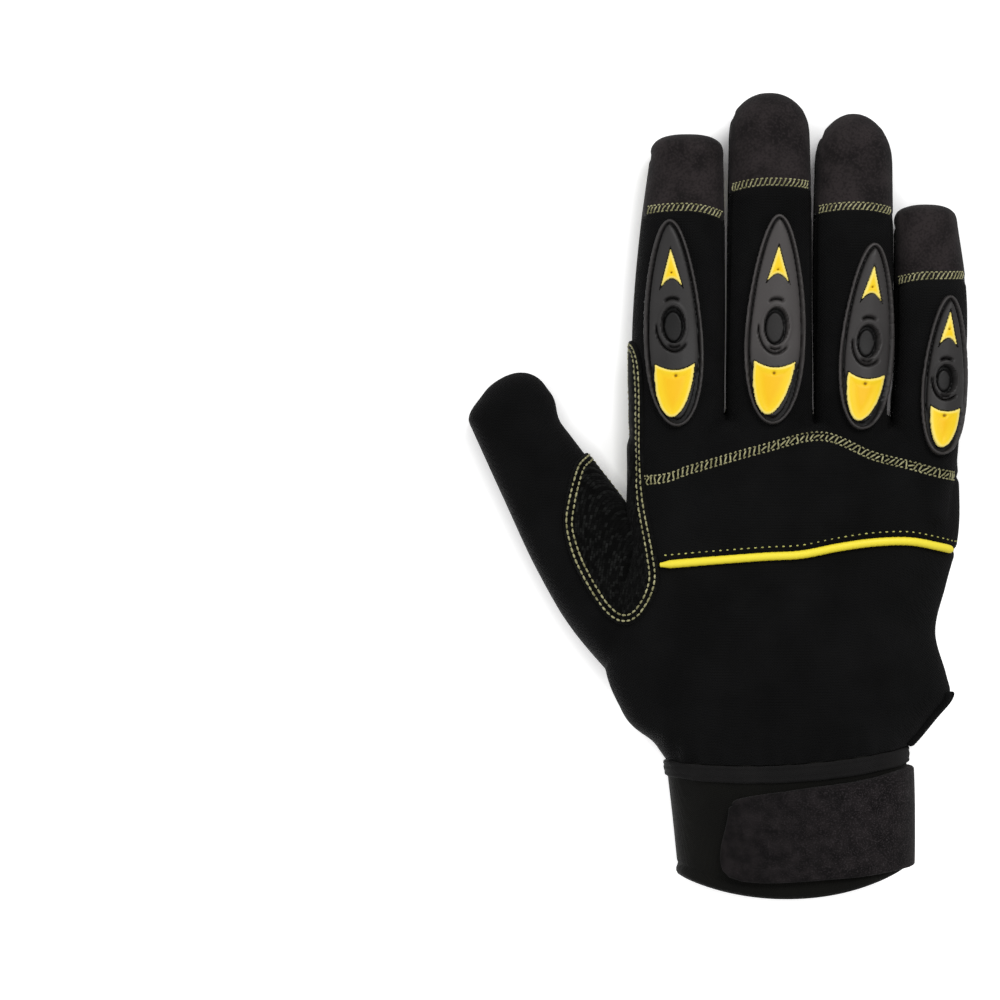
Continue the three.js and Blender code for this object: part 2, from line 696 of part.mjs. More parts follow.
function buildHand() {
  const palmSide = handShell.intersect(palmSpace(-seam)).subtract(forksCut).subtract(capsCut);
  addPiece('palm_panel', palmSide, DARK_LEATHER);
  for (const finger of FINGERS) {
    addPiece(`${finger.name}_tip_cap`, handShell.intersect(capSpace(finger, -seam)), DARK_LEATHER);
  }
  for (const [first, second] of forkPairs) {
    const fork = handShell.intersect(forkSpace(first, second, -seam)).subtract(capsCut);
    addPiece(`${first.name}_${second.name}_fork`, fork, BLACK_KNIT);
  }
  const back = handShell.subtract(palmSpace(seam)).subtract(forksCut).subtract(capsCut);
  const overFingers = back.subtract(thumbSpace(seam));
  const fingerSide = beyondLine(KNUCKLE_LINE, seam);
  const knuckleSide = beyondLine(PIPING_LINE, seam);
  addPiece('finger_back_panel', overFingers.intersect(fingerSide), BLACK_KNIT);
  const knuckles = overFingers.subtract(beyondLine(KNUCKLE_LINE, -seam)).intersect(knuckleSide);
  addPiece('knuckle_panel', knuckles, BLACK_KNIT);
  const handBack = back.subtract(beyondLine(PIPING_LINE, -seam)).add(back.intersect(thumbSpace(-seam)));
  addPiece('hand_back_panel', handBack, BLACK_KNIT);
}

// Height of the palm's back over a point, between the two sections that it lies between.
function backHeight(point) {
  const stations = PALM_SECTIONS.map(palmStation);
  const share = (station) => (point.x - station.x) / station.halfWidth;
  const curve = (station) => station.rise * share(station) ** 2 + station.tilt * share(station);
  const alongOf = (station) => station.y + curve(station);
  const heightOf = (station) => {
    const across = Math.min(Math.abs(share(station)), 0.995);
    const up = (1 - across ** station.squareness) ** (1 / station.squareness);
    return station.rest + station.height * (0.47 + 0.53 * up);
  };
  const place = stations.findIndex((station) => alongOf(station) > point.y);
  const before = stations[place - 1];
  const after = stations[place];
  const part = (point.y - alongOf(before)) / (alongOf(after) - alongOf(before));
  return mix(heightOf(before), heightOf(after), part);
}

// The piping lies on the seam between the knuckle panel and the back of the hand.
function buildPiping() {
  const radius = PIPING_DIAMETER / 2;
  const line = PIPING_LINE.map(palmPoint).map((point) => new THREE.Vector3(point.x, point.y, 0));
  const path = new THREE.CatmullRomCurve3(line, false, 'centripetal').getPoints(24);
  for (const point of path) {
    const left = backHeight({ x: point.x - radius, y: point.y });
    const right = backHeight({ x: point.x + radius, y: point.y });
    const slope = (right - left) / (2 * radius);
    point.z = backHeight(point) + (GAP + radius) * Math.hypot(1, slope);
  }
  const profile = new THREE.Shape();
  profile.absarc(0, 0, radius, 0, 2 * Math.PI);
  const geometry = new THREE.ExtrudeGeometry(profile, {
    steps: 20,
    curveSegments: 4,
    extrudePath: new THREE.CatmullRomCurve3(path, false, 'centripetal'),
  });
  addPiece('knuckle_piping', solidFromGeometry(geometry), YELLOW_PIPING);
}

// Grip patches on the palm side, flat on the surface, and the saddle patch over the thumb's crotch
function buildPatches() {
  const low = GAP;
  const high = GAP + PATCH_THICKNESS;
  const layer = handForm(high).subtract(handForm(low));
  const underside = block([-REACH, -REACH, 0], [REACH, REACH, LOWER_SEAM_Z]);
  const palmOutline = smoothOutline(PALM_PATCH.map(palmPoint), 64);
  addPiece('palm_grip_patch', layer.intersect(prism(palmOutline)).intersect(underside), GRIP_FABRIC);
  for (const [name, rows] of Object.entries(FINGER_PATCHES)) {
    const finger = FINGERS.find((candidate) => candidate.name === name);
    const rowPoint = (row, side) =>
      new THREE.Vector2(
        axisX(finger) + (row[side] * FINGER_WIDTH) / 2,
        CROTCH_Y + row.along * finger.reach * FINGER_LENGTH,
      );
    const left = rows.map((row) => rowPoint(row, 'left'));
    const right = rows.map((row) => rowPoint(row, 'right')).reverse();
    const outline = smoothOutline([...left, ...right], 32);
    const patch = fingerLayer(finger, low, high).intersect(prism(outline)).intersect(underside);
    addPiece(`${name}_grip_patch`, patch, GRIP_FABRIC);
  }
  const saddleOutline = smoothOutline(SADDLE_PATCH.map(palmPoint), 28);
  const upper = block([-REACH, -REACH, THUMB_SEAM_Z], [REACH, REACH, REACH]);
  const besideGuard = prism(placedOnFinger(guardOutline(GUARDS.index, -GAP), FINGERS[0], GUARDS.index));
  const saddle = layer.intersect(prism(saddleOutline)).intersect(upper).subtract(besideGuard);
  addPiece('saddle_patch', saddle, GRIP_FABRIC);
}

// One guard: a base with a raised rim and a raised boss, and two yellow inserts let into the boss
function buildGuard(finger) {
  const guard = GUARDS[finger.name];
  const baseTop = GAP + GUARD_BASE;
  const rimTop = baseTop + GUARD_RIM_HEIGHT;
  const bossTop = baseTop + GUARD_BOSS_HEIGHT;
  const pocketFloor = bossTop - INSERT_DEPTH;
  const over = (outline, low, high) =>
    fingerLayer(finger, low, high).intersect(prism(placedOnFinger(outline, finger, guard), SIDE_SEAM_Z));
  const rimInset = GUARD_RIM_WIDTH;
  const bossInset = GUARD_RIM_WIDTH + GUARD_GROOVE;
  const rimHole = prism(placedOnFinger(guardOutline(guard, rimInset), finger, guard));
  const rim = over(guardOutline(guard, 0), baseTop - GAP, rimTop).subtract(rimHole);
  const boss = over(guardOutline(guard, bossInset), baseTop - GAP, bossTop);
  const arrow = over(arrowOutline(guard, 0), pocketFloor, bossTop + GUARD_BASE);
  const scoop = over(scoopOutline(guard, 0), pocketFloor, bossTop + GUARD_BASE);
  const whole = over(guardOutline(guard, 0), GAP, baseTop).add(rim).add(boss);
  addPiece(`${finger.name}_guard`, whole.subtract(arrow).subtract(scoop), GUARD_RUBBER);
  const floor = pocketFloor + INSERT_CLEARANCE;
  const arrowInsert = over(arrowOutline(guard, INSERT_CLEARANCE), floor, bossTop + INSERT_CLEARANCE);
  const scoopInsert = over(scoopOutline(guard, INSERT_CLEARANCE), floor, bossTop + INSERT_CLEARANCE);
  addPiece(`${finger.name}_guard_arrow`, arrowInsert, YELLOW_RUBBER);
  addPiece(`${finger.name}_guard_scoop`, scoopInsert, YELLOW_RUBBER);
}

// The cuff, the band over its seam and the closure strap that comes round from the little finger's side
function buildCuff() {
  const seamShare = 1 - GAP / CUFF_LENGTH;
  addPiece('cuff', cuffShell(0, -CUFF_WALL, 0, seamShare), NEOPRENE);
  const bandFrom = seamShare - HEM_BAND_WIDTH / CUFF_LENGTH;
  addPiece('cuff_hem_band', cuffShell(GAP + HEM_BAND_THICKNESS, GAP, bandFrom, seamShare), NEOPRENE);
  const point = (across, along) =>
    new THREE.Vector2(CUFF_LEFT + across * CUFF_WIDTH, along * CUFF_LENGTH);
  const outline = [
    point(0.25, 0.16),
    point(0.245, 0.62),
    point(0.26, 0.69),
    point(0.3, 0.75),
    point(0.56, 0.82),
    point(0.8, 0.86),
    point(1.0, 0.94),
    point(1.1, 0.94),
    point(1.1, 0.24),
    point(1.0, 0.22),
    point(0.7, 0.15),
  ];
  const strap = cuffShell(GAP + STRAP_THICKNESS, GAP, -0.1, bandFrom - GAP / CUFF_LENGTH);
  const upper = block([-REACH, -REACH, 0.3 * CUFF_HEIGHT], [REACH, REACH, REACH]);
  addPiece('closure_strap', strap.intersect(prism(outline)).intersect(upper), LOOP_FABRIC);
}

buildHand();
buildPiping();
buildPatches();
FINGERS.forEach(buildGuard);
buildCuff();

// The origin is on the surface, under the middle of the glove.
glove.updateMatrixWorld(true);
const bounds = new THREE.Box3().setFromObject(glove);
const centre = bounds.getCenter(new THREE.Vector3());
glove.position.set(-centre.x, -centre.y, -bounds.min.z);

export default glove;
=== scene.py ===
"""A mechanic's glove for the right hand, lying palm down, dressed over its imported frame.

Lengths are millimetres until a piece is made. The cuff's free edge is near y = 0, the fingers point along
+Y, the thumb is on the -X side and the back of the hand faces +Z.
"""

import math

import bpy
import numpy as np
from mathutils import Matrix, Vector
from mathutils.bvhtree import BVHTree
from mathutils.kdtree import KDTree


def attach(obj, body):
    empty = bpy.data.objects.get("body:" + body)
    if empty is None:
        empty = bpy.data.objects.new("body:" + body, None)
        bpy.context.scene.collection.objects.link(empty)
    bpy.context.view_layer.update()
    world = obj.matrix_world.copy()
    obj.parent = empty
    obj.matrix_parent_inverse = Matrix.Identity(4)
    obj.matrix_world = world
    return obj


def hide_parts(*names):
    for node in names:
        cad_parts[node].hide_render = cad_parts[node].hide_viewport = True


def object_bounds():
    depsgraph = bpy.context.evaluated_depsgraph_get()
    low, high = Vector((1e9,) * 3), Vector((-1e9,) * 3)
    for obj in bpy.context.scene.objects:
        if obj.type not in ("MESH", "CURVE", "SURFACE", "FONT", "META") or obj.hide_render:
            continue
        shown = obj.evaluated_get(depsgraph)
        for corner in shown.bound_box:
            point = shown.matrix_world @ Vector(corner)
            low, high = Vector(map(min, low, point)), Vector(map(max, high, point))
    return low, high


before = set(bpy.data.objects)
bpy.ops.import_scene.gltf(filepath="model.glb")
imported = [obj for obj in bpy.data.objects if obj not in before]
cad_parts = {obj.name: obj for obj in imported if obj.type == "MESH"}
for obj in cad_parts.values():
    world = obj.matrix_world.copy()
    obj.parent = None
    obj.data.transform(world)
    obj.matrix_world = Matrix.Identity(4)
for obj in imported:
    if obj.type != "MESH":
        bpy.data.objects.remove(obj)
frame_low, frame_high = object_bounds()

# The glove's sizes, as its solids have them
FINGER_WIDTH = 25.4
FINGER_HEIGHT = 23.0
FINGER_LENGTH = 100.8
PITCH = 26.3
PALM_LENGTH = 103.0
PALM_HEIGHT = 36.0
PALM_WIDTH = 3.82 * PITCH
PALM_LEFT = -1.654 * PITCH
THUMB_WIDTH = 25.0
THUMB_HEIGHT = 23.0
THUMB_LENGTH = 110.0
THUMB_TURN = math.radians(-31)
CUFF_WIDTH = 73.0
CUFF_MOUTH_WIDTH = 69.5
CUFF_HEIGHT = 42.0
CUFF_LENGTH = 40.5
CUFF_LEFT = -0.43 * CUFF_WIDTH
CUFF_WALL = 2.6
HEM_WIDTH = 5.2  # wider than the solids' 4.2, as the photograph has it
REST = 1.5  # height of the palm side over the floor
WALL = 1.5
WRIST_Y = CUFF_LENGTH
CROTCH_Y = WRIST_Y + PALM_LENGTH
FINGER_ROOT = 0.29 * PALM_LENGTH
LOWER_SEAM_Z = REST + 0.36 * FINGER_HEIGHT
UPPER_SEAM_Z = REST + 0.7 * FINGER_HEIGHT
SIDE_SEAM_Z = REST + 0.5 * FINGER_HEIGHT
PALM_SEAM_Z = REST + 0.42 * PALM_HEIGHT
THUMB_SEAM_Z = REST + 0.38 * THUMB_HEIGHT
GUARD_LENGTH = 64.0
GUARD_WIDTH = 18.9
CAP_LENGTH = 30.5
FINGER_SQUARENESS = 2.4  # 2 is an oval section, more is nearer to a box
PALM_SQUARENESS = 2.5
CUFF_RISE = 2.6  # how far the cuff's far edge bows along its middle
CUFF_TILT = 2.2  # how far that edge leans from side to side
MIDDLE = np.array([-16.282, 122.141])  # the middle of the solids' box in these coordinates

SKIN_STEP = 0.9  # size of the hand skin's faces
SNAP = 0.1  # a seam line passes through a point that lies this near to it

# The palm's sections from the wrist to the crotches: along, left, right and swell, as shares
PALM_SECTIONS = [
    (0, 0, 0, 0), (0.055, 0.4, 0.32, 0.3), (0.1, 0.9, 0.56, 0.5), (0.16, 1.22, 0.86, 0.65),
    (0.21, 1.42, 0.8, 0.7), (0.35, 1.6, 0.57, 0.8), (0.5, 1.35, 0.78, 0.85), (0.65, 1.0, 1.02, 1.05),
    (0.8, 0.9, 1.05, 1.4), (0.92, 0.9, 1.0, 2.0),
]

# The fingers. axis is the middle line in pitches, reach and cap are shares of the usual lengths, tip and
# shape form the rounded end, seam is how far the cap's seam drops towards its two ends in millimetres, and
# left and right are the sides in half widths at SIDE_PLACES
SIDE_PLACES = [0, 0.3, 0.52, 0.78, 1]
FINGER_HEIGHTS = [1.34, 1.24, 1.08, 1.0, 0.94]
FINGERS = [
    dict(
        name="index", axis=-1, reach=0.873, cap=0.83, tip=0.5, shape=2.7, seam=(0.9, 2.6),
        left=[1.05, 1.2, 1.2, 1.02, 0.76], right=[0.95, 0.97, 1.0, 1.0, 0.97],
    ),
    dict(
        name="middle", axis=0, reach=1, cap=1, tip=1.05, shape=2.1, seam=(1.8, 0.7),
        left=[0.95, 1.02, 1.0, 0.98, 0.94], right=[0.95, 1.02, 1.02, 1.02, 0.98],
    ),
    dict(
        name="ring", axis=0.98, reach=0.937, cap=1.03, tip=1.2, shape=1.95, seam=(1.2, 1.8),
        left=[0.9, 0.93, 0.95, 0.95, 0.9], right=[0.7, 0.78, 0.95, 0.95, 0.94],
    ),
    dict(
        name="little", axis=1.865, reach=0.66, cap=0.81, tip=0.42, shape=2.5, seam=(2.1, -0.6),
        left=[0.8, 0.95, 0.84, 0.83, 0.82], right=[0.5, 0.7, 0.86, 0.87, 0.66],
    ),
]
AXES = np.array([finger["axis"] * PITCH for finger in FINGERS])

# The thumb from root to tip: along, width, height, as shares
THUMB_SECTIONS = [
    (0, 0.8, 1.0), (0.16, 1.14, 1.2), (0.32, 1.34, 1.2), (0.52, 1.32, 1.1), (0.76, 1.12, 1.0),
    (1, 0.9, 0.92),
]

# Lines and outlines in shares of the palm: across from its left edge, along from the wrist
KNUCKLE_LINE = [
    (-0.3, 0.82), (0.067, 0.827), (0.192, 0.859), (0.407, 0.919), (0.584, 0.955), (0.735, 0.898),
    (0.842, 0.872), (0.985, 0.839), (1.2, 0.83),
]
PIPING_LINE = [
    (0.112, 0.578), (0.246, 0.59), (0.407, 0.602), (0.517, 0.608), (0.626, 0.629), (0.735, 0.644),
    (0.842, 0.647), (0.93, 0.632), (0.985, 0.619),
]
PALM_PATCH = [
    (0.035, 1.236), (0.098, 1.227), (0.156, 1.2), (0.192, 1.138), (0.201, 1.028), (0.253, 0.957),
    (0.33, 1.008), (0.388, 1.15), (0.43, 1.191), (0.467, 1.11), (0.485, 1.008), (0.54, 0.955),
    (0.61, 0.98), (0.65, 1.098), (0.681, 1.141), (0.729, 1.07), (0.76, 0.969), (0.806, 0.901),
    (0.88, 0.931), (0.95, 0.99), (1.09, 0.93), (1.1, 0.7), (1.08, 0.5), (0.972, 0.356), (0.945, 0.22),
    (0.86, 0.09), (0.76, 0.045), (0.64, 0.045), (0.43, 0.08), (0.2, 0.185), (0.13, 0.25), (0.1, 0.34),
    (0.13, 0.42), (0.21, 0.445), (0.29, 0.42), (0.46, 0.352), (0.67, 0.315), (0.74, 0.335),
    (0.755, 0.39), (0.68, 0.465), (0.52, 0.538), (0.27, 0.62), (0.1, 0.69), (0.03, 0.745),
    (0.01, 0.95),
]
SADDLE_PATCH = [
    (-0.128, 0.905), (-0.166, 0.856), (-0.194, 0.703), (-0.16, 0.575), (-0.07, 0.435), (0.0, 0.402),
    (0.055, 0.44), (0.092, 0.525), (0.085, 0.62), (0.06, 0.76), (0.05, 0.9), (0.045, 1.17),
    (0.0, 1.25), (-0.05, 1.17), (-0.075, 0.95),
]
# The raised pads inside the palm's grip patch, in the same shares
UPPER_PAD = [
    (0.04, 0.86), (0.3, 0.865), (0.52, 0.85), (0.68, 0.82), (0.81, 0.74), (0.83, 0.69), (0.74, 0.7),
    (0.62, 0.735), (0.47, 0.71), (0.25, 0.735), (0.1, 0.765), (0.05, 0.8),
]
SIDE_PAD = [
    (0.49, 0.6), (0.53, 0.62), (0.68, 0.61), (0.79, 0.6), (0.815, 0.56), (0.8, 0.5), (0.755, 0.47),
    (0.7, 0.48), (0.6, 0.53), (0.51, 0.575),
]
HEEL_PAD = [
    (0.92, 0.62), (0.86, 0.615), (0.83, 0.53), (0.81, 0.42), (0.78, 0.32), (0.73, 0.27), (0.6, 0.28),
    (0.44, 0.33), (0.29, 0.385), (0.2, 0.38), (0.17, 0.31), (0.24, 0.24), (0.42, 0.16), (0.63, 0.095),
    (0.79, 0.11), (0.88, 0.2), (0.92, 0.36), (0.97, 0.5),
]
# Grip patches on the fingers: along as a share, left and right in half widths, from bottom to top
FINGER_PATCHES = {
    "index": [
        (0.27, -0.25, 0.3), (0.31, -0.7, 0.55), (0.35, -0.88, 0.72), (0.5, -0.86, 0.74),
        (0.58, -0.82, 0.35), (0.64, -0.8, -0.02), (0.69, -0.78, 0.4), (0.75, -0.76, 0.86),
        (0.85, -0.72, 0.82), (0.91, -0.6, 0.5), (0.94, -0.3, 0.1),
    ],
    "middle": [
        (0.24, 0.05, 0.22), (0.27, -0.3, 0.46), (0.33, -0.44, 0.6), (0.43, -0.32, 0.46),
        (0.56, -0.26, 0.42), (0.65, -0.34, 0.44), (0.76, -0.56, 0.5), (0.82, -0.55, 0.42),
        (0.865, -0.2, 0.2),
    ],
}
# The guards: across in half widths, along and size as shares, and turn in degrees
GUARDS = {
    "index": (-0.25, 0.295, 0.985, 1.7),
    "middle": (0.1, 0.306, 1, -2.2),
    "ring": (0.244, 0.255, 0.89, -4.5),
    "little": (0.25, 0.138, 0.76, -4),
}
# The closure strap's outline in shares of the cuff's width and length
STRAP = [
    (0.25, 0.16), (0.245, 0.62), (0.26, 0.69), (0.3, 0.75), (0.56, 0.82), (0.8, 0.88), (1.0, 0.965),
    (1.1, 0.965), (1.1, 0.24), (1.0, 0.22), (0.7, 0.15),
]


# Forms


def squared(value, squareness):
    """A sine or cosine reshaped for a section between an oval and a box."""
    return np.sign(value) * np.abs(value) ** (2 / squareness)


def step_up(value, low, high):
    """0 below low, 1 above high, smooth between."""
    share = np.clip((value - low) / (high - low), 0, 1)
    return share * share * (3 - 2 * share)


def smooth_column(places, values, at):
    """A table's column between its rows, on a smooth line through them."""
    places = np.asarray(places, float)
    values = np.asarray(values, float)
    slopes = np.gradient(values, places)
    row = np.clip(np.searchsorted(places, at, side="right") - 1, 0, len(places) - 2)
    step = places[row + 1] - places[row]
    t = (at - places[row]) / step
    start = (2 * t**3 - 3 * t**2 + 1) * values[row] + (t**3 - 2 * t**2 + t) * step * slopes[row]
    end = (3 * t**2 - 2 * t**3) * values[row + 1] + (t**3 - t**2) * step * slopes[row + 1]
    return start + end


def ridge(off, width):
    """1 on a line and softly down to 0 beside it."""
    return np.exp(-((off / width) ** 2))


def unit(vectors):
    return vectors / np.maximum(np.linalg.norm(vectors, axis=1), 1e-12)[:, None]


def smooth_line(points, steps=8, closed=False):
    """A smooth line through a table's points."""
    points = np.asarray(points, float)
    if closed:
        around = np.concatenate([points[-2:], points, points[:3]])
        at = np.arange(2, 2 + len(points), 1 / steps)
    else:
        around = points
        at = np.linspace(0, len(points) - 1, steps * (len(points) - 1) + 1)
    places = np.arange(len(around))
    return np.stack([smooth_column(places, around[:, k], at) for k in range(2)], axis=1)


def on_palm(rows):
    """Millimetres from a table in shares of the palm."""
    rows = np.asarray(rows, float)
    return np.stack([PALM_LEFT + rows[:, 0] * PALM_WIDTH, WRIST_Y + rows[:, 1] * PALM_LENGTH], axis=1)


def form_rings(x, y, half, height, squareness, turn=0.0, rise=0.0, tilt=0.0, shrink=1.0, sides=72):
    """Rings of a filled glove part, flat where it rests. Every size is a list, one value a ring."""
    sizes = (x, y, half, height, rise, tilt, shrink)
    columns = [np.broadcast_to(np.asarray(size, float), np.shape(x))[:, None] for size in sizes]
    x, y, half, height, rise, tilt, shrink = columns
    angle = np.arange(sides) * 2 * np.pi / sides
    cosine = squared(np.cos(angle), squareness)[None]
    sine = squared(np.sin(angle), squareness)[None]
    across = cosine * half * shrink
    along = rise * cosine**2 + tilt * cosine
    up = np.where(sine > 0, 0.53, 0.55) * height * shrink
    return np.stack(
        [
            x + across * math.cos(turn) + along * math.sin(turn),
            y - across * math.sin(turn) + along * math.cos(turn),
            np.maximum(REST + 0.47 * height + sine * up, REST),
        ],
        axis=2,
    )


def rounded_end(x, y, turn, tip, shape):
    """Places and shrink of the rings of a rounded end after its last section."""
    angle = np.radians(np.array([0, 12, 22, 32, 42, 52, 61, 69, 76, 82, 86, 89]))
    along = squared(np.sin(angle), shape) * tip
    return x + along * math.sin(turn), y + along * math.cos(turn), squared(np.cos(angle), shape)


def with_rounded_end(rows, turn, tip, shape, squareness):
    """Rings of a form whose last section runs out in a rounded end."""
    x, y, shrink = rounded_end(rows["x"][-1], rows["y"][-1], turn, tip, shape)
    full = {k: np.concatenate([v[:-1], np.full(len(x), v[-1])]) for k, v in rows.items()}
    full["x"] = np.concatenate([rows["x"][:-1], x])
    full["y"] = np.concatenate([rows["y"][:-1], y])
    full["shrink"] = np.concatenate([np.ones(len(rows["x"]) - 1), shrink])
    return form_rings(squareness=squareness, turn=turn, **full)


def corners_between(rows, sides, closed=True):
    """The four corners of every face between rows of points, where a row closes on itself or not."""
    row, side = np.meshgrid(np.arange(rows - 1), np.arange(sides - (not closed)), indexing="ij")
    low, low_next = (row * sides + side).ravel(), (row * sides + (side + 1) % sides).ravel()
    return low, low_next, low_next + sides, low + sides


def closed_loft(rings):
    """Points and faces of a tube through rings, with a fan over each end."""
    count, sides = rings.shape[:2]
    points = np.concatenate([rings.reshape(-1, 3), rings[0].mean(0)[None], rings[-1].mean(0)[None]])
    faces = np.stack(corners_between(count, sides), axis=1).tolist()
    start = count * sides
    for i in range(sides):
        nxt = (i + 1) % sides
        faces.append((start, nxt, i))
        faces.append((start + 1, (count - 1) * sides + i, (count - 1) * sides + nxt))
    return points, faces


def palm_rows(count=70):
    table = np.array(PALM_SECTIONS)
    at = np.linspace(0, table[-1, 0], count)
    left, right, swell = [smooth_column(table[:, 0], table[:, k], at) for k in (1, 2, 3)]
    left = CUFF_LEFT + (PALM_LEFT - CUFF_LEFT) * left
    right_cuff = CUFF_LEFT + CUFF_WIDTH
    right = right_cuff + (PALM_LEFT + PALM_WIDTH - right_cuff) * right
    return dict(
        x=(left + right) / 2,
        y=WRIST_Y + at * PALM_LENGTH,
        half=(right - left) / 2,
        height=CUFF_HEIGHT + (PALM_HEIGHT - CUFF_HEIGHT) * swell,
        rise=CUFF_RISE * (1 - at),
        tilt=CUFF_TILT * (1 - at) - 1.2 * at,
    )


def palm_rings():
    rows = palm_rows()
    inside_cuff = {k: v[0] for k, v in rows.items()}
    inside_cuff["y"] -= 12
    rows = {k: np.concatenate([[inside_cuff[k]], v]) for k, v in rows.items()}
    return with_rounded_end(rows, 0.0, 0.075 * PALM_LENGTH, 2.6, PALM_SQUARENESS)


def finger_sides(finger, count=60):
    at = np.linspace(0, 1, count)
    half = FINGER_WIDTH / 2
    left = smooth_column(SIDE_PLACES, finger["left"], at) * half + 0.15
    right = smooth_column(SIDE_PLACES, finger["right"], at) * half + 0.15
    straight = FINGER_ROOT + finger["reach"] * FINGER_LENGTH - finger["tip"] * half
    return dict(
        x=finger["axis"] * PITCH + (right - left) / 2,
        y=CROTCH_Y - FINGER_ROOT + at * straight,
        half=(left + right) / 2,
        height=smooth_column(SIDE_PLACES, FINGER_HEIGHTS, at) * FINGER_HEIGHT,
    )


def finger_rings(finger):
    tip = finger["tip"] * FINGER_WIDTH / 2
    return with_rounded_end(finger_sides(finger), 0.0, tip, finger["shape"], FINGER_SQUARENESS)


def thumb_rings():
    table = np.array(THUMB_SECTIONS)
    at = np.linspace(0, 1, 60)
    tip = 0.4 * THUMB_WIDTH
    root_x = PALM_LEFT + 0.136 * PALM_WIDTH
    root_y = WRIST_Y + 0.21 * PALM_LENGTH
    width, height = [smooth_column(table[:, 0], table[:, k], at) for k in (1, 2)]
    rows = dict(
        x=root_x + math.sin(THUMB_TURN) * at * (THUMB_LENGTH - tip),
        y=root_y + math.cos(THUMB_TURN) * at * (THUMB_LENGTH - tip),
        half=width * THUMB_WIDTH / 2,
        height=height * THUMB_HEIGHT,
    )
    return with_rounded_end(rows, THUMB_TURN, tip, 2.3, FINGER_SQUARENESS)


SPREAD = 4.0


def spread_at(y):
    """How far fingers stand apart while the skin is made, so that neighbours don't grow together."""
    return SPREAD * step_up(y, CROTCH_Y - 1, CROTCH_Y + 9)


# Skins

# A skin is a dict: points, normals, faces (triangles), and any further value that each point carries.


def point_normals(points, faces):
    a, b, c = points[faces[:, 0]], points[faces[:, 1]], points[faces[:, 2]]
    cross = np.cross(b - a, c - a)
    normals = np.zeros_like(points)
    for k in range(3):
        np.add.at(normals, faces[:, k], cross)
    return unit(normals)


def relaxed(points, faces, rounds):
    """Evens out a skin without shrinking it."""
    pairs = np.concatenate([faces[:, [0, 1]], faces[:, [1, 2]], faces[:, [2, 0]]])
    count = sum(np.bincount(pairs[:, k], minlength=len(points)) for k in (0, 1))
    for i in range(rounds * 2):
        total = np.zeros_like(points)
        np.add.at(total, pairs[:, 0], points[pairs[:, 1]])
        np.add.at(total, pairs[:, 1], points[pairs[:, 0]])
        weight = 0.5 if i % 2 == 0 else -0.52
        points = points + weight * (total / count[:, None] - points)
    return points


def hand_skin():
    """One skin over the palm, the thumb and the fingers."""
    points, faces = [], []
    forms = [palm_rings(), thumb_rings()]
    for place, finger in enumerate(FINGERS):
        rings = finger_rings(finger)
        rings[:, :, 0] += (place - 1) * spread_at(rings[:, :, 1])
        forms.append(rings)
    count = 0
    for rings in forms:
        form_points, form_faces = closed_loft(rings)
        points.extend(form_points.tolist())
        faces.extend([tuple(v + count for v in face) for face in form_faces])
        count += len(form_points)
    mesh = bpy.data.meshes.new("hand_form")
    mesh.from_pydata(points, [], faces)
    form = bpy.data.objects.new("hand_form", mesh)
    bpy.context.scene.collection.objects.link(form)
    remesh = form.modifiers.new("skin", "REMESH")
    remesh.mode = "VOXEL"
    remesh.voxel_size = SKIN_STEP
    made = form.evaluated_get(bpy.context.evaluated_depsgraph_get()).to_mesh()
    made.calc_loop_triangles()
    skin = np.zeros(len(made.vertices) * 3)
    made.vertices.foreach_get("co", skin)
    triangles = np.zeros(len(made.loop_triangles) * 3, dtype=np.int32)
    made.loop_triangles.foreach_get("vertices", triangles)
    bpy.data.objects.remove(form)
    skin = skin.reshape(-1, 3)
    triangles = triangles.reshape(-1, 3)
    skin = relaxed(skin, triangles, 4)
    spread = spread_at(skin[:, 1])
    shifts = np.arange(4) - 1
    distance = np.abs(skin[:, :1] - (AXES[None] + shifts[None] * spread[:, None]))
    nearest = distance.argmin(axis=1)
    skin[:, 0] -= shifts[nearest] * spread
    normals = point_normals(skin, triangles)
    if (normals[:, 2] * (skin[:, 2] - 15)).sum() < 0:
        triangles = triangles[:, ::-1].copy()
        normals = -normals
    return dict(points=skin, normals=normals, faces=triangles, finger=nearest.astype(float))


def at_all_points(skin, change):
    """The skin with a change made to every value that its points carry."""
    return {k: v if k == "faces" else change(v) for k, v in skin.items()}


def crossed_sides(faces, field):
    """For every side of every face: whether a field changes its sign there, and the side's number."""
    after = np.roll(faces, -1, axis=1)
    low, high = np.minimum(faces, after), np.maximum(faces, after)
    return field[low] * field[high] < 0, low.astype(np.int64) * len(field) + high


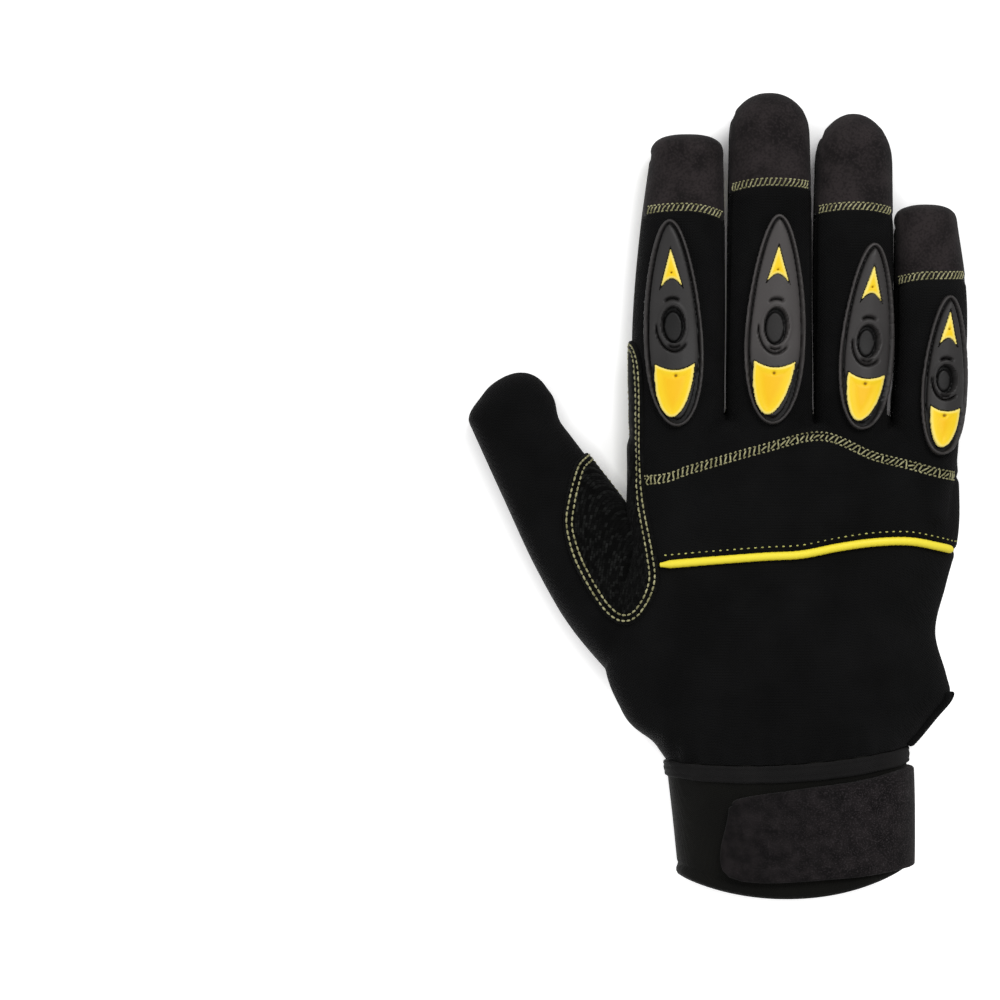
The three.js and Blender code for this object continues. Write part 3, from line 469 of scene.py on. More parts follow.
def cut_through(skin, name):
    """Adds points where a value passes through zero, so that a piece can end on that line."""
    level = skin[name]
    level[np.abs(level) < SNAP] = 0
    faces = skin["faces"]
    count = len(level)
    crossing, keys = crossed_sides(faces, level)
    found = np.unique(keys[crossing])
    if not len(found):
        return skin
    a, b = found // count, found % count
    share = level[a] / (level[a] - level[b])

    def lengthened(values):
        part = share if values.ndim == 1 else share[:, None]
        return np.concatenate([values, values[a] + (values[b] - values[a]) * part])

    new = at_all_points(skin, lengthened)
    middle = np.searchsorted(found, keys) + count
    crossed = crossing.sum(axis=1)
    kept = [faces[crossed == 0]]
    rows = np.flatnonzero(crossed == 2)
    k = (~crossing[rows]).argmax(axis=1)
    v0, v1, v2 = faces[rows, (k + 2) % 3], faces[rows, k], faces[rows, (k + 1) % 3]
    p, q = middle[rows, (k + 2) % 3], middle[rows, (k + 1) % 3]
    kept += [np.stack(t, axis=1) for t in ((v0, p, q), (p, v1, v2), (p, v2, q))]
    rows = np.flatnonzero(crossed == 1)
    k = crossing[rows].argmax(axis=1)
    v0, v1, v2 = faces[rows, k], faces[rows, (k + 1) % 3], faces[rows, (k + 2) % 3]
    p = middle[rows, k]
    kept += [np.stack(t, axis=1) for t in ((v0, p, v2), (p, v1, v2))]
    new["faces"] = np.concatenate(kept)
    new[name][count:] = 0
    return new


def above(skin, name):
    """Which faces lie where a value is above zero."""
    return skin[name][skin["faces"]].sum(axis=1) > 0


def only(skin, faces):
    """The part of a skin with the chosen faces."""
    chosen = skin["faces"][faces]
    used, renumbered = np.unique(chosen, return_inverse=True)
    part = at_all_points(skin, lambda values: values[used])
    part["faces"] = renumbered.reshape(chosen.shape)
    return part


def rim_edges(faces, labels=None):
    """Directed edges that only one face has, or that lie between two labels."""
    start = faces.reshape(-1)
    end = np.roll(faces, -1, axis=1).reshape(-1)
    size = int(faces.max()) + 1
    keys = np.minimum(start, end).astype(np.int64) * size + np.maximum(start, end)
    order = np.argsort(keys, kind="stable")
    ordered = keys[order]
    first = np.r_[True, ordered[1:] != ordered[:-1]]
    group = np.cumsum(first) - 1
    if labels is None:
        alone = np.bincount(group)[group] == 1
        rows = order[alone]
    else:
        label = np.repeat(labels, 3)[order]
        lowest = np.full(group[-1] + 1, 10**6)
        highest = np.full(group[-1] + 1, -1)
        np.minimum.at(lowest, group, label)
        np.maximum.at(highest, group, label)
        rows = order[(lowest != highest)[group] & first]
    return start[rows], end[rows]


def distance_to_edges(skin, edges):
    """How far each point lies from some of the skin's edges."""
    a, b = skin["points"][edges[0]], skin["points"][edges[1]]
    line = np.concatenate([a + (b - a) * share for share in (0, 0.25, 0.5, 0.75)])
    tree = KDTree(len(line))
    for i, point in enumerate(line.tolist()):
        tree.insert(point, i)
    tree.balance()
    return np.array([tree.find(point)[2] for point in skin["points"].tolist()])


def cut_at_levels(skin, name, levels):
    """Cuts a skin along several levels of one value."""
    for level in levels:
        skin["cut"] = skin[name] - level
        skin = cut_through(skin, "cut")
    skin.pop("cut", None)
    return skin


def lines_at(skin, values, level, outer):
    """Lines along which a value has one level: points and normals for each line."""
    field = values - level
    field = np.where(field == 0, 1e-9, field)
    crossing, keys = crossed_sides(skin["faces"], field)
    rows = np.flatnonzero(crossing.sum(axis=1) == 2)
    if not len(rows):
        return []
    found, renumbered = np.unique(keys[rows][crossing[rows]], return_inverse=True)
    pairs = renumbered.reshape(-1, 2).tolist()
    a, b = found // len(field), found % len(field)
    share = (field[a] / (field[a] - field[b]))[:, None]
    points = outer[a] + (outer[b] - outer[a]) * share
    normals = skin["normals"][a] + (skin["normals"][b] - skin["normals"][a]) * share
    beside = [[] for _ in found]
    for p, q in pairs:
        beside[p].append(q)
        beside[q].append(p)
    lines = []
    free = [True] * len(found)
    starts = [i for i, near in enumerate(beside) if len(near) == 1] + list(range(len(found)))
    for start in starts:
        if not free[start]:
            continue
        line = [start]
        free[start] = False
        while True:
            following = [i for i in beside[line[-1]] if free[i]]
            if not following:
                break
            line.append(following[0])
            free[following[0]] = False
        if start in beside[line[-1]] and len(line) > 3:
            line.append(start)
        if len(line) > 2:
            lines.append((points[line], normals[line]))
    return lines


def outline_distance(points, outline):
    """Signed distance to a closed outline seen from above, positive inside."""
    far = 12.0
    low, high = outline.min(axis=0) - far, outline.max(axis=0) + far
    near = np.flatnonzero(((points[:, :2] > low) & (points[:, :2] < high)).all(axis=1))
    result = np.full(len(points), -far)
    x, y = points[near, 0], points[near, 1]
    best = np.full(len(near), far**2)
    inside = np.zeros(len(near), dtype=bool)
    for (ax, ay), (bx, by) in zip(outline.tolist(), np.roll(outline, -1, axis=0).tolist()):
        dx, dy = bx - ax, by - ay
        share = np.clip(((x - ax) * dx + (y - ay) * dy) / max(dx * dx + dy * dy, 1e-12), 0, 1)
        best = np.minimum(best, (x - ax - share * dx) ** 2 + (y - ay - share * dy) ** 2)
        if ay != by:
            inside ^= ((ay > y) != (by > y)) & (x < (bx - ax) * (y - ay) / (by - ay) + ax)
    result[near] = np.where(inside, 1, -1) * np.sqrt(best)
    return result


# Pieces

frame_middle = [(frame_low[k] + frame_high[k]) * 500 for k in (0, 1)]
shift = np.array([frame_middle[0] - MIDDLE[0], frame_middle[1] - MIDDLE[1], 0.0])


def make_piece(name, points, faces, finish, stands_for=(), values=None, crease=48):
    """A piece of the glove from its points in millimetres."""
    mesh = bpy.data.meshes.new(name)
    faces = np.asarray(faces, dtype=np.int32)
    mesh.vertices.add(len(points))
    mesh.vertices.foreach_set("co", ((np.asarray(points) + shift) / 1000).astype(np.float32).ravel())
    mesh.loops.add(faces.size)
    mesh.loops.foreach_set("vertex_index", faces.ravel())
    mesh.polygons.add(len(faces))
    mesh.polygons.foreach_set("loop_start", np.arange(0, faces.size, faces.shape[1], dtype=np.int32))
    mesh.polygons.foreach_set("loop_total", np.full(len(faces), faces.shape[1], dtype=np.int32))
    mesh.update(calc_edges=True)
    for key, column in (values or {}).items():
        layer = mesh.attributes.new(key, "FLOAT", "POINT")
        layer.data.foreach_set("value", np.asarray(column, dtype=np.float32))
    mesh.shade_smooth()
    mesh.set_sharp_from_angle(angle=math.radians(crease))
    mesh.validate()
    mesh.materials.append(finish)
    piece = bpy.data.objects.new(name, mesh)
    bpy.context.scene.collection.objects.link(piece)
    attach(piece, "root")
    if stands_for:
        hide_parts(*stands_for)
    return piece


def walled(outer, inner, faces):
    """A closed wall between an outer and an inner skin with the same faces."""
    count = len(outer)
    start, end = rim_edges(faces)
    sides = [np.stack(t, axis=1) for t in ((end, start, start + count), (end, start + count, end + count))]
    return np.concatenate([outer, inner]), np.concatenate([faces, faces[:, ::-1] + count, *sides])


def wall_piece(name, skin, finish, slot, stands_for, *carried):
    """A piece between a skin's outer and inner side. Its points keep the carried values for the finish."""
    points, faces = walled(skin["outer"], skin["inner"], skin["faces"])
    values = {key: np.tile(skin[key], 2) for key in carried}
    return make_piece(name, points, faces, finish, [stands_for], values)


def raised(skin, field, levels, height, seat=-0.25):
    """Part of a skin inside a field's zero line, raised by a height that depends on the way to its edge."""
    skin = dict(skin)
    skin["inside"] = field.copy()
    skin = cut_through(skin, "inside")
    skin = only(skin, above(skin, "inside"))
    skin["edge"] = distance_to_edges(skin, rim_edges(skin["faces"]))
    skin = cut_at_levels(skin, "edge", levels)
    lift = height(skin)
    skin["outer"] = skin["points"] + skin["normals"] * lift[:, None]
    skin["inner"] = skin["points"] + skin["normals"] * seat
    return skin


rng = np.random.default_rng(7)
WAY_STEP = 0.35  # how far on each side of a stitch the line is looked at for its way
STITCH_RINGS = ((-1, 0.5), (-0.72, 0.95), (0, 1.08), (0.72, 0.95), (1, 0.5))  # place along and thickness
STITCH_SIDES = 6
STITCH_ENDS = ((0, 1, 2, 3), (0, 3, 4, 5), (27, 26, 25, 24), (29, 28, 27, 24))


def along_line(at, run, values):
    """The values of a line's points, at lengths along the line."""
    return np.stack([np.interp(at, run, values[:, k]) for k in range(3)], axis=1)


def stitches(lines, pitch, length, thick, slant=0.0, wobble=0.0, arch=0.3, where=None):
    """Threads along lines: each lies as a small arch with both ends in the cloth."""
    middles, ways, ups = [], [], []
    for points, normals in lines:
        steps = np.linalg.norm(np.diff(points, axis=0), axis=1)
        run = np.r_[0, np.cumsum(steps)]
        number = int(run[-1] / pitch)
        if number < 1:
            continue
        at = (np.arange(number) + 0.5) * run[-1] / number
        middles.append(along_line(at, run, points))
        ways.append(along_line(at + WAY_STEP, run, points) - along_line(at - WAY_STEP, run, points))
        ups.append(along_line(at, run, normals))
    if not middles:
        return np.zeros((0, 3)), np.zeros((0, 4), dtype=int)
    middle, way, up = np.concatenate(middles), np.concatenate(ways), np.concatenate(ups)
    if where is not None:
        chosen = where(middle)
        middle, way, up = middle[chosen], way[chosen], up[chosen]
    up = unit(up)
    way = unit(way - up * (way * up).sum(axis=1)[:, None])
    side = np.cross(up, way)
    angle = np.radians(slant + wobble * rng.normal(size=len(middle)))[:, None]
    way, side = way * np.cos(angle) + side * np.sin(angle), side * np.cos(angle) - way * np.sin(angle)
    size = (1 + 0.1 * rng.normal(size=len(middle)))[:, None, None, None]
    t, fat = [np.array(column)[None, :, None, None] for column in zip(*STITCH_RINGS)]
    lift = (arch * (1 - t**2) - 0.55 * thick * t**4) * size
    turn = np.arange(STITCH_SIDES) * 2 * np.pi / STITCH_SIDES
    cosine, sine = np.cos(turn)[None, None, :, None], np.sin(turn)[None, None, :, None]
    points = (
        middle[:, None, None, :]
        + way[:, None, None, :] * t * length / 2 * size
        + up[:, None, None, :] * (lift + thick / 2 * fat * sine)
        + side[:, None, None, :] * thick / 2 * fat * cosine
    ).reshape(-1, 3)
    sides = np.stack(corners_between(len(STITCH_RINGS), STITCH_SIDES), axis=1)
    one = np.concatenate([sides[:, ::-1], STITCH_ENDS])
    starts = len(STITCH_RINGS) * STITCH_SIDES * np.arange(len(middle))
    return points, (one[None] + starts[:, None, None]).reshape(-1, 4)


def thread_piece(name, sets, finish):
    """One piece from several rows of stitches."""
    points, faces, count = [], [], 0
    for set_points, set_faces in sets:
        points.append(set_points)
        faces.append(set_faces + count)
        count += len(set_points)
    make_piece(name, np.concatenate(points), np.concatenate(faces), finish, crease=80)


# Finishes


def set_sockets(tree, node, values):
    """Sets a node's inputs to values or joins them to other nodes' outputs."""
    for name, value in values.items():
        socket = node.inputs[name.replace("_", " ")]
        if isinstance(value, bpy.types.NodeSocket):
            tree.links.new(value, socket)
        else:
            socket.default_value = value


def add_node(tree, kind, **values):
    node = tree.nodes.new("ShaderNode" + kind)
    set_sockets(tree, node, values)
    return node


def sums(tree, operation, first, second=None):
    """A Math node on values or sockets."""
    node = tree.nodes.new("ShaderNodeMath")
    node.operation = operation
    for socket, value in zip(node.inputs, (first, second)):
        if isinstance(value, bpy.types.NodeSocket):
            tree.links.new(value, socket)
        elif value is not None:
            socket.default_value = value
    return node.outputs[0]


def scaled(tree, vector, scale):
    node = tree.nodes.new("ShaderNodeVectorMath")
    node.operation = "SCALE"
    set_sockets(tree, node, dict(Vector=vector, Scale=scale))
    return node.outputs[0]


def new_group(name, inputs, outputs):
    """A node group with named sockets: its tree, the place on the object, its entrance and its exit."""
    tree = bpy.data.node_groups.new(name, "ShaderNodeTree")
    for socket_name, value in inputs.items():
        socket = tree.interface.new_socket(socket_name, in_out="INPUT", socket_type="NodeSocketFloat")
        socket.default_value = value
    for socket_name in outputs:
        tree.interface.new_socket(socket_name, in_out="OUTPUT", socket_type="NodeSocketFloat")
    enter, leave = tree.nodes.new("NodeGroupInput"), tree.nodes.new("NodeGroupOutput")
    return tree, add_node(tree, "TexCoord").outputs["Object"], enter, leave


TURN_OF_A_METRE = 6283.2  # a wave's angle over one metre at a pitch of one millimetre


def knit_group():
    """Loops of a knit: rows of small bumps at a pitch given in millimetres."""
    inputs = dict(Pitch=1.0, Unevenness=0.4)
    tree, place, enter, leave = new_group("knit_loops", inputs, ("Height", "Cloud"))
    radians_a_metre = sums(tree, "DIVIDE", TURN_OF_A_METRE, enter.outputs["Pitch"])
    x, y, z = add_node(tree, "SeparateXYZ", Vector=scaled(tree, place, radians_a_metre)).outputs
    waves = []
    for a, b in ((x, y), (y, z), (z, x)):
        waves.append(sums(tree, "MULTIPLY", sums(tree, "SINE", a), sums(tree, "COSINE", b)))
    loops = sums(tree, "ADD", sums(tree, "ADD", waves[0], waves[1]), waves[2])
    cloud = add_node(tree, "TexNoise", Vector=place, Scale=60, Detail=5).outputs[0]
    uneven = sums(tree, "MULTIPLY", sums(tree, "MULTIPLY", cloud, 3.0), enter.outputs["Unevenness"])
    set_sockets(tree, leave, dict(Height=sums(tree, "ADD", loops, uneven), Cloud=cloud))
    return tree


def grain_group():
    """Fine grain with larger soft clouds, for suede, rubber and fuzzy cloth."""
    tree, place, enter, leave = new_group("fine_grain", dict(Grain=900.0, Clouds=40.0), ("Height", "Cloud"))
    for name, detail, output in (("Grain", 4.0, "Height"), ("Clouds", 6.0, "Cloud")):
        noise = add_node(tree, "TexNoise", Vector=place, Scale=enter.outputs[name], Detail=detail)
        tree.links.new(noise.outputs[0], leave.inputs[output])
    return tree


def tweed_group():
    """Short flecks in brick-like rows, as a grip fabric has."""
    tree, place, enter, leave = new_group("grip_flecks", dict(Length=1.5, Row=0.7), ("Fleck", "Height"))
    millimetres = scaled(tree, place, 1000)
    x, y, z = add_node(tree, "SeparateXYZ", Vector=millimetres).outputs
    flat = add_node(tree, "CombineXYZ", X=y, Y=sums(tree, "ADD", x, z)).outputs[0]
    black, white = (0, 0, 0, 1), (1, 1, 1, 1)
    bricks = add_node(tree, "TexBrick", Vector=flat, Scale=1.0, Color1=black, Color2=white, Mortar=black)
    sizes = dict(Brick_Width=enter.outputs["Length"], Row_Height=enter.outputs["Row"])
    set_sockets(tree, bricks, dict(Mortar_Size=0.12, Mortar_Smooth=1.0, **sizes))
    noise = add_node(tree, "TexNoise", Vector=millimetres, Scale=0.9, Detail=3)
    value = sums(tree, "MULTIPLY", bricks.outputs["Color"], noise.outputs[0])
    sharp = sums(tree, "POWER", sums(tree, "MULTIPLY", value, 1.7), 2.2)
    set_sockets(tree, leave, dict(Fleck=sharp, Height=sums(tree, "SUBTRACT", 1.0, bricks.outputs["Fac"])))
    return tree


KNIT = knit_group()
GRAIN = grain_group()
TWEED = tweed_group()


class Finish:
    """A material under construction: its shader and short ways to join nodes to it."""

    def __init__(self, name, roughness, **constants):
        self.material = bpy.data.materials.new(name)
        self.material.use_nodes = True
        self.tree = self.material.node_tree
        self.shader = self.tree.nodes["Principled BSDF"]
        set_sockets(self.tree, self.shader, dict(Roughness=roughness, **constants))

    def group(self, group, **values):
        """The outputs of a node group with its sockets set."""
        node = self.tree.nodes.new("ShaderNodeGroup")
        node.node_tree = group
        set_sockets(self.tree, node, values)
        return node.outputs

    def ramp(self, value, *stops):
        node = add_node(self.tree, "ValToRGB", Fac=value)
        for i, (place, colour) in enumerate(stops):
            stop = node.color_ramp.elements[i] if i < 2 else node.color_ramp.elements.new(place)
            stop.position = place
            stop.color = (*colour, 1)
        return node.outputs[0]

    def mix(self, share, first, second):
        node = self.tree.nodes.new("ShaderNodeMix")
        node.data_type = "RGBA"
        self.tree.links.new(share, node.inputs["Factor"])
        for socket, value in ((node.inputs[6], first), (node.inputs[7], second)):
            if isinstance(value, tuple):
                socket.default_value = (*value, 1)
            else:
                self.tree.links.new(value, socket)
        return node.outputs[2]

    def worn(self, name, low, high):
        """A value that the piece's points carry, from 0 at low to 1 at high."""
        carried = add_node(self.tree, "Attribute")
        carried.attribute_name = name
        limits = dict(From_Min=low, From_Max=high)
        return add_node(self.tree, "MapRange", Value=carried.outputs["Fac"], **limits).outputs[0]

    def colour(self, socket):
        self.tree.links.new(socket, self.shader.inputs["Base Color"])

    def bumps(self, *layers):
        """Bump from several heights: (height, depth in millimetres)."""
        below = {}
        for height, depth in layers:
            node = add_node(self.tree, "Bump", Distance=depth / 1000, Height=height, **below)
            below = dict(Normal=node.outputs[0])
        set_sockets(self.tree, self.shader, below)

    def rough(self, value, low, high):
        roughness = add_node(self.tree, "MapRange", Value=value, To_Min=low, To_Max=high).outputs[0]
        set_sockets(self.tree, self.shader, dict(Roughness=roughness))
        return self.material


def knit_finish():
    f = Finish("stretch_knit", 0.85, Sheen_Weight=0.012, Sheen_Roughness=0.5, Specular_IOR_Level=0.06)
    loops = f.group(KNIT, Pitch=0.85, Unevenness=0.5)
    dark, light = (0.0022, 0.0022, 0.0023), (0.0048, 0.0048, 0.005)
    f.colour(f.ramp(loops["Cloud"], (0.35, dark), (0.7, light)))
    f.bumps((loops["Height"], 0.09))
    return f.rough(loops["Cloud"], 0.75, 0.95)


def suede_finish(name, dark, light):
    f = Finish(name, 0.8, Sheen_Weight=0.03, Sheen_Roughness=0.6, Specular_IOR_Level=0.1)
    grain = f.group(GRAIN, Grain=1400, Clouds=150)
    base = f.ramp(grain["Cloud"], (0.38, dark), (0.64, light))
    pile = f.ramp(grain["Height"], (0.4, (0.5, 0.5, 0.5)), (0.5, (0, 0, 0)), (0.62, (0.6, 0.6, 0.6)))
    grained = f.mix(pile, base, f.ramp(grain["Height"], (0.45, dark), (0.55, light)))
    # Painted shade along the seams: the leather turns near black close to them, where the seams are sunk.
    f.colour(f.mix(f.worn("seam", 0.0, 1.9), (0.004, 0.0036, 0.0036), grained))
    f.bumps((grain["Height"], 0.14), (grain["Cloud"], 0.25))
    return f.rough(grain["Cloud"], 0.7, 0.92)


def grip_finish(name, dark, light, fleck, gloss):
    f = Finish(name, 0.75, Sheen_Weight=0.02, Sheen_Roughness=0.5, Specular_IOR_Level=gloss)
    tweed = f.group(TWEED, Length=1.55, Row=0.85)
    grain = f.group(GRAIN, Grain=1500, Clouds=60)
    base = f.ramp(grain["Cloud"], (0.3, dark), (0.75, light))
    flecked = f.mix(tweed["Fleck"], base, fleck)
    # Painted shade along the patch's edge, where it dips down to the cloth below.
    f.colour(f.mix(f.worn("edge", 0.0, 0.5), (0.004, 0.004, 0.004), flecked))
    f.bumps((tweed["Height"], 0.1), (grain["Height"], 0.05))
    return f.rough(tweed["Fleck"], 0.85, 0.6)


def neoprene_finish(name, dark, light, depth):
    f = Finish(name, 0.85, Sheen_Weight=0.02, Sheen_Roughness=0.5, Specular_IOR_Level=0.1)
    loops = f.group(KNIT, Pitch=0.6, Unevenness=0.3)
    grain = f.group(GRAIN, Grain=700, Clouds=70)
    f.colour(f.ramp(grain["Cloud"], (0.3, dark), (0.72, light)))
    f.bumps((loops["Height"], depth), (grain["Cloud"], 0.3))
    return f.rough(grain["Cloud"], 0.75, 0.95)


def loop_finish():
    f = Finish("loop_fabric", 0.92, Sheen_Weight=0.04, Sheen_Roughness=0.4, Specular_IOR_Level=0.1)
    grain = f.group(GRAIN, Grain=2300, Clouds=260)
    dark, light = (0.0042, 0.0036, 0.0038), (0.0118, 0.0098, 0.0103)
    base = f.ramp(grain["Cloud"], (0.38, dark), (0.66, light))
    speck = f.ramp(grain["Height"], (0.5, (0, 0, 0)), (0.72, (0.5, 0.5, 0.5)))
    faded = sums(f.tree, "MULTIPLY", speck, f.worn("right", 0.2, 1.0))
    f.colour(f.mix(faded, base, (0.075, 0.063, 0.068)))
    f.bumps((grain["Height"], 0.3), (grain["Cloud"], 0.1))
    return f.material


def rubber_finish():
    f = Finish("guard_rubber", 0.42, Specular_IOR_Level=0.22)
    grain = f.group(GRAIN, Grain=1300, Clouds=90)
    base = f.ramp(grain["Cloud"], (0.3, (0.014, 0.0135, 0.0135)), (0.7, (0.02, 0.019, 0.019)))
    # Painted sheen: the boss is mixed towards grey as far as the piece's carried sheen value says.
    sheened = f.mix(f.worn("tone", 0.0, 1.0), base, (0.068, 0.062, 0.061))
    # Painted shade: the rubber turns near black where it lies low, in the hole and in the grooves round it.
    f.colour(f.mix(f.worn("height", 1.0, 2.7), (0.0015, 0.0015, 0.0015), sheened))
    f.bumps((grain["Height"], 0.035))
    return f.rough(grain["Cloud"], 0.4, 0.6)


def yellow_finish(name, rim, middle, deep):
    f = Finish(name, 0.42, Specular_IOR_Level=0.2)
    grain = f.group(GRAIN, Grain=900, Clouds=140)
    # Colour by the way to the edge. On the guard inserts: a painted highlight on the bevelled rim, and
    # painted shade deepening to orange towards the hollow middle. On the piping cord, whose edge value runs
    # round it: painted shade on its underside, a painted highlight on its top.
    heart = f.mix(f.worn("edge", 0.8, 3.2), middle, deep)
    body = f.mix(f.worn("edge", 0.1, 0.9), rim, heart)
    # Painted shade in the pinhole: dark brown where the dot dents the insert.
    f.colour(f.mix(f.worn("dot", 0.3, 0.75), body, (0.3, 0.16, 0.01)))
    f.bumps((grain["Height"], 0.02))
    return f.rough(grain["Cloud"], 0.34, 0.5)


def thread_finish(name, dark, light):
    f = Finish(name, 0.6, Sheen_Weight=0.2)
    grain = f.group(GRAIN, Grain=2600, Clouds=420)
    f.colour(f.ramp(grain["Cloud"], (0.35, dark), (0.65, light)))
    f.bumps((grain["Height"], 0.05))
    return f.rough(grain["Cloud"], 0.5, 0.7)


BLACK_KNIT = knit_finish()
SUEDE = suede_finish("suede_leather", (0.0052, 0.0038, 0.0041), (0.0205, 0.0162, 0.0168))
PALM_SUEDE = suede_finish("palm_suede", (0.023, 0.019, 0.02), (0.043, 0.0365, 0.0375))
GRIP = grip_finish("grip_fabric", (0.008, 0.008, 0.0085), (0.02, 0.02, 0.019), (0.15, 0.155, 0.13), 0.15)
# Painted shade: the saddle's cloth is a darker copy of the palm's grip fabric, darkened as if it lay in
# shade.
SHADED_SADDLE_TONES = ((0.0008, 0.0008, 0.0008), (0.0018, 0.0018, 0.0017), (0.0105, 0.011, 0.0105))
SHADED_SADDLE_GRIP = grip_finish("saddle_fabric_shaded", *SHADED_SADDLE_TONES, 0.04)
NEOPRENE = neoprene_finish("neoprene", (0.002, 0.002, 0.0015), (0.0045, 0.0044, 0.0034), 0.05)
HEM = neoprene_finish("hem_band", (0.0048, 0.0047, 0.0048), (0.0095, 0.009, 0.009), 0.05)
LOOP = loop_finish()
RUBBER = rubber_finish()
YELLOW = yellow_finish("yellow_rubber", (0.86, 0.72, 0.2), (0.8, 0.56, 0.012), (0.8, 0.46, 0.006))
# On the piping, the first colour is painted shade under the cord and the last a painted highlight on its
# top.
PIPING = yellow_finish("yellow_piping", (0.3, 0.18, 0.01), (0.76, 0.62, 0.022), (0.82, 0.7, 0.05))
THREAD = thread_finish("pale_thread", (0.15, 0.142, 0.05), (0.36, 0.345, 0.175))
LIME_THREAD = thread_finish("lime_thread", (0.24, 0.24, 0.05), (0.52, 0.52, 0.13))


# The hand

PIECES = ["palm", "cap", "fork", "fingers", "knuckles", "back"]
OUTSIDE = -50.0  # a field's value well away from its piece
# Between which places along the hand a side seam changes its height
LITTLE_SIDE = (115, 150)
THUMB_SIDE = (44, 74)
INDEX_SIDE = (126, 150)


def line_height(table, x):
    """How far along the hand a line across it runs, at x."""
    line = smooth_line(on_palm(table))
    return np.interp(x, line[:, 0], line[:, 1])


def cuff_seam_y(x):
    """Where the hand ends in the cuff."""
    share = (x - (CUFF_LEFT + CUFF_WIDTH / 2)) / (CUFF_WIDTH / 2)
    return WRIST_Y + CUFF_RISE * share**2 + CUFF_TILT * share


def cap_field(points, finger_of):
    """Above zero on the fingertip caps."""
    result = np.full(len(points), OUTSIDE)
    x, y, z = points.T
    for place, finger in enumerate(FINGERS):
        tip_y = CROTCH_Y + finger["reach"] * FINGER_LENGTH
        across = np.clip((x - AXES[place]) / (FINGER_WIDTH / 2), -1.2, 1.2)
        drop = np.where(across < 0, finger["seam"][0], finger["seam"][1]) * across**2
        seam = tip_y - finger["cap"] * CAP_LENGTH + 1.0 - drop
        wrap = tip_y - 6 - 1.5 * across**2
        field = np.maximum(np.minimum(z - SIDE_SEAM_Z, y - seam), y - wrap)
        mine = np.round(finger_of) == place
        result[mine] = field[mine]
    return np.where(y > CROTCH_Y + 12, result, OUTSIDE)


def add_fields(skin):
    """The lines along which the hand's panels meet."""
    x, y, z = skin["points"].T
    skin["hand"] = y - cuff_seam_y(x)
    skin["cap"] = cap_field(skin["points"], skin["finger"])
    limits = [z - LOWER_SEAM_Z, UPPER_SEAM_Z - z, y - (CROTCH_Y - 6), x - AXES[0], AXES[3] - x]
    skin["fork"] = np.minimum.reduce(limits)
    right = PALM_SEAM_Z + (SIDE_SEAM_Z - PALM_SEAM_Z) * step_up(y, *LITTLE_SIDE)
    at_thumb = PALM_SEAM_Z + (THUMB_SEAM_Z - PALM_SEAM_Z) * step_up(y, *THUMB_SIDE)
    left = at_thumb + (SIDE_SEAM_Z - THUMB_SEAM_Z) * step_up(y, *INDEX_SIDE) * (x > -50)
    seam_z = np.where(x > AXES[3], right, np.where(x < AXES[0], left, LOWER_SEAM_Z))
    skin["palm"] = seam_z - z
    strip = PALM_LEFT + 0.05 * PALM_WIDTH
    beside_thumb = np.maximum(x - strip, np.minimum(y - (WRIST_Y + 0.76 * PALM_LENGTH), x - PALM_LEFT))
    skin["fingers"] = np.minimum(y - line_height(KNUCKLE_LINE, x), beside_thumb)
    skin["knuckles"] = np.minimum(y - line_height(PIPING_LINE, x), beside_thumb)


# Folds over the back: from, to, depth and width
FOLD_LINES = [
    ((-41.9, 112.9), (-45.9, 89.7), 1.3, 1.5),
    ((-20, 62), (8, 70), 0.5, 3.5),
    ((4, 52), (36, 58), 0.45, 3.0),
    ((-30, 76), (-12, 92), 0.5, 3.5),
    ((34, 88), (50, 100), 0.35, 3.0),
    ((-54, 104), (-70, 122), 0.5, 3.0),
    ((-60, 92), (-44, 74), 0.45, 3.5),
]
# Dents across the palm side of each finger: place as a share of its length, and depth
DENTS = ((0.03, 0.5), (0.36, 0.45), (0.4, 0.3), (0.66, 0.35))


def folds(skin):
    """Soft folds of the worn glove: over the back of the hand, at the thumb's root and at the wrist."""
    x, y, z = skin["points"].T
    top = step_up(skin["normals"][:, 2], 0.1, 0.7)
    ripples = np.sin(x * 0.9 + 0.8 * np.sin(x * 0.23))
    lift = 0.45 * ridge(y - WRIST_Y, 9) * ripples * (0.4 + 0.6 * top)
    for (ax, ay), (bx, by), depth, width in FOLD_LINES:
        dx, dy = bx - ax, by - ay
        length = math.hypot(dx, dy)
        along = ((x - ax) * dx + (y - ay) * dy) / length
        off = ((x - ax) * dy - (y - ay) * dx) / length + 1.2 * np.sin(along * 0.16)
        fade = step_up(along, -4, 6) * (1 - step_up(along, length - 6, length + 4))
        lift += top * fade * depth * (ridge(off - width, width) * 0.5 - ridge(off, width))
    rough = 0.22 * np.sin(x * 0.11 + 1.3 * np.sin(y * 0.07)) * np.sin(y * 0.09 + 0.7)
    lift += rough * top
    under = step_up(-skin["normals"][:, 2], 0.2, 0.6)
    dents = np.zeros(len(x))
    for place, finger in enumerate(FINGERS):
        mine = (np.round(skin["finger"]) == place) & (y > CROTCH_Y - 8)
        for share, depth in DENTS:
            line = CROTCH_Y + share * finger["reach"] * FINGER_LENGTH + 0.8 * np.sin(x * 0.4)
            dents -= mine * depth * ridge(y - line, 1.3)
    return lift * (1 - under) + dents * under


def tone_hand(skin):
    """Labels every face with its panel, and says how far each point is from the panels' seams."""
    for name in ("cap", "fork", "palm", "fingers", "knuckles"):
        skin = cut_through(skin, name)
    labels = np.full(len(skin["faces"]), PIECES.index("back"))
    for name in ("knuckles", "fingers", "palm", "fork", "cap"):
        labels[above(skin, name)] = PIECES.index(name)
    skin["seam"] = distance_to_edges(skin, rim_edges(skin["faces"], labels))
    return skin, labels


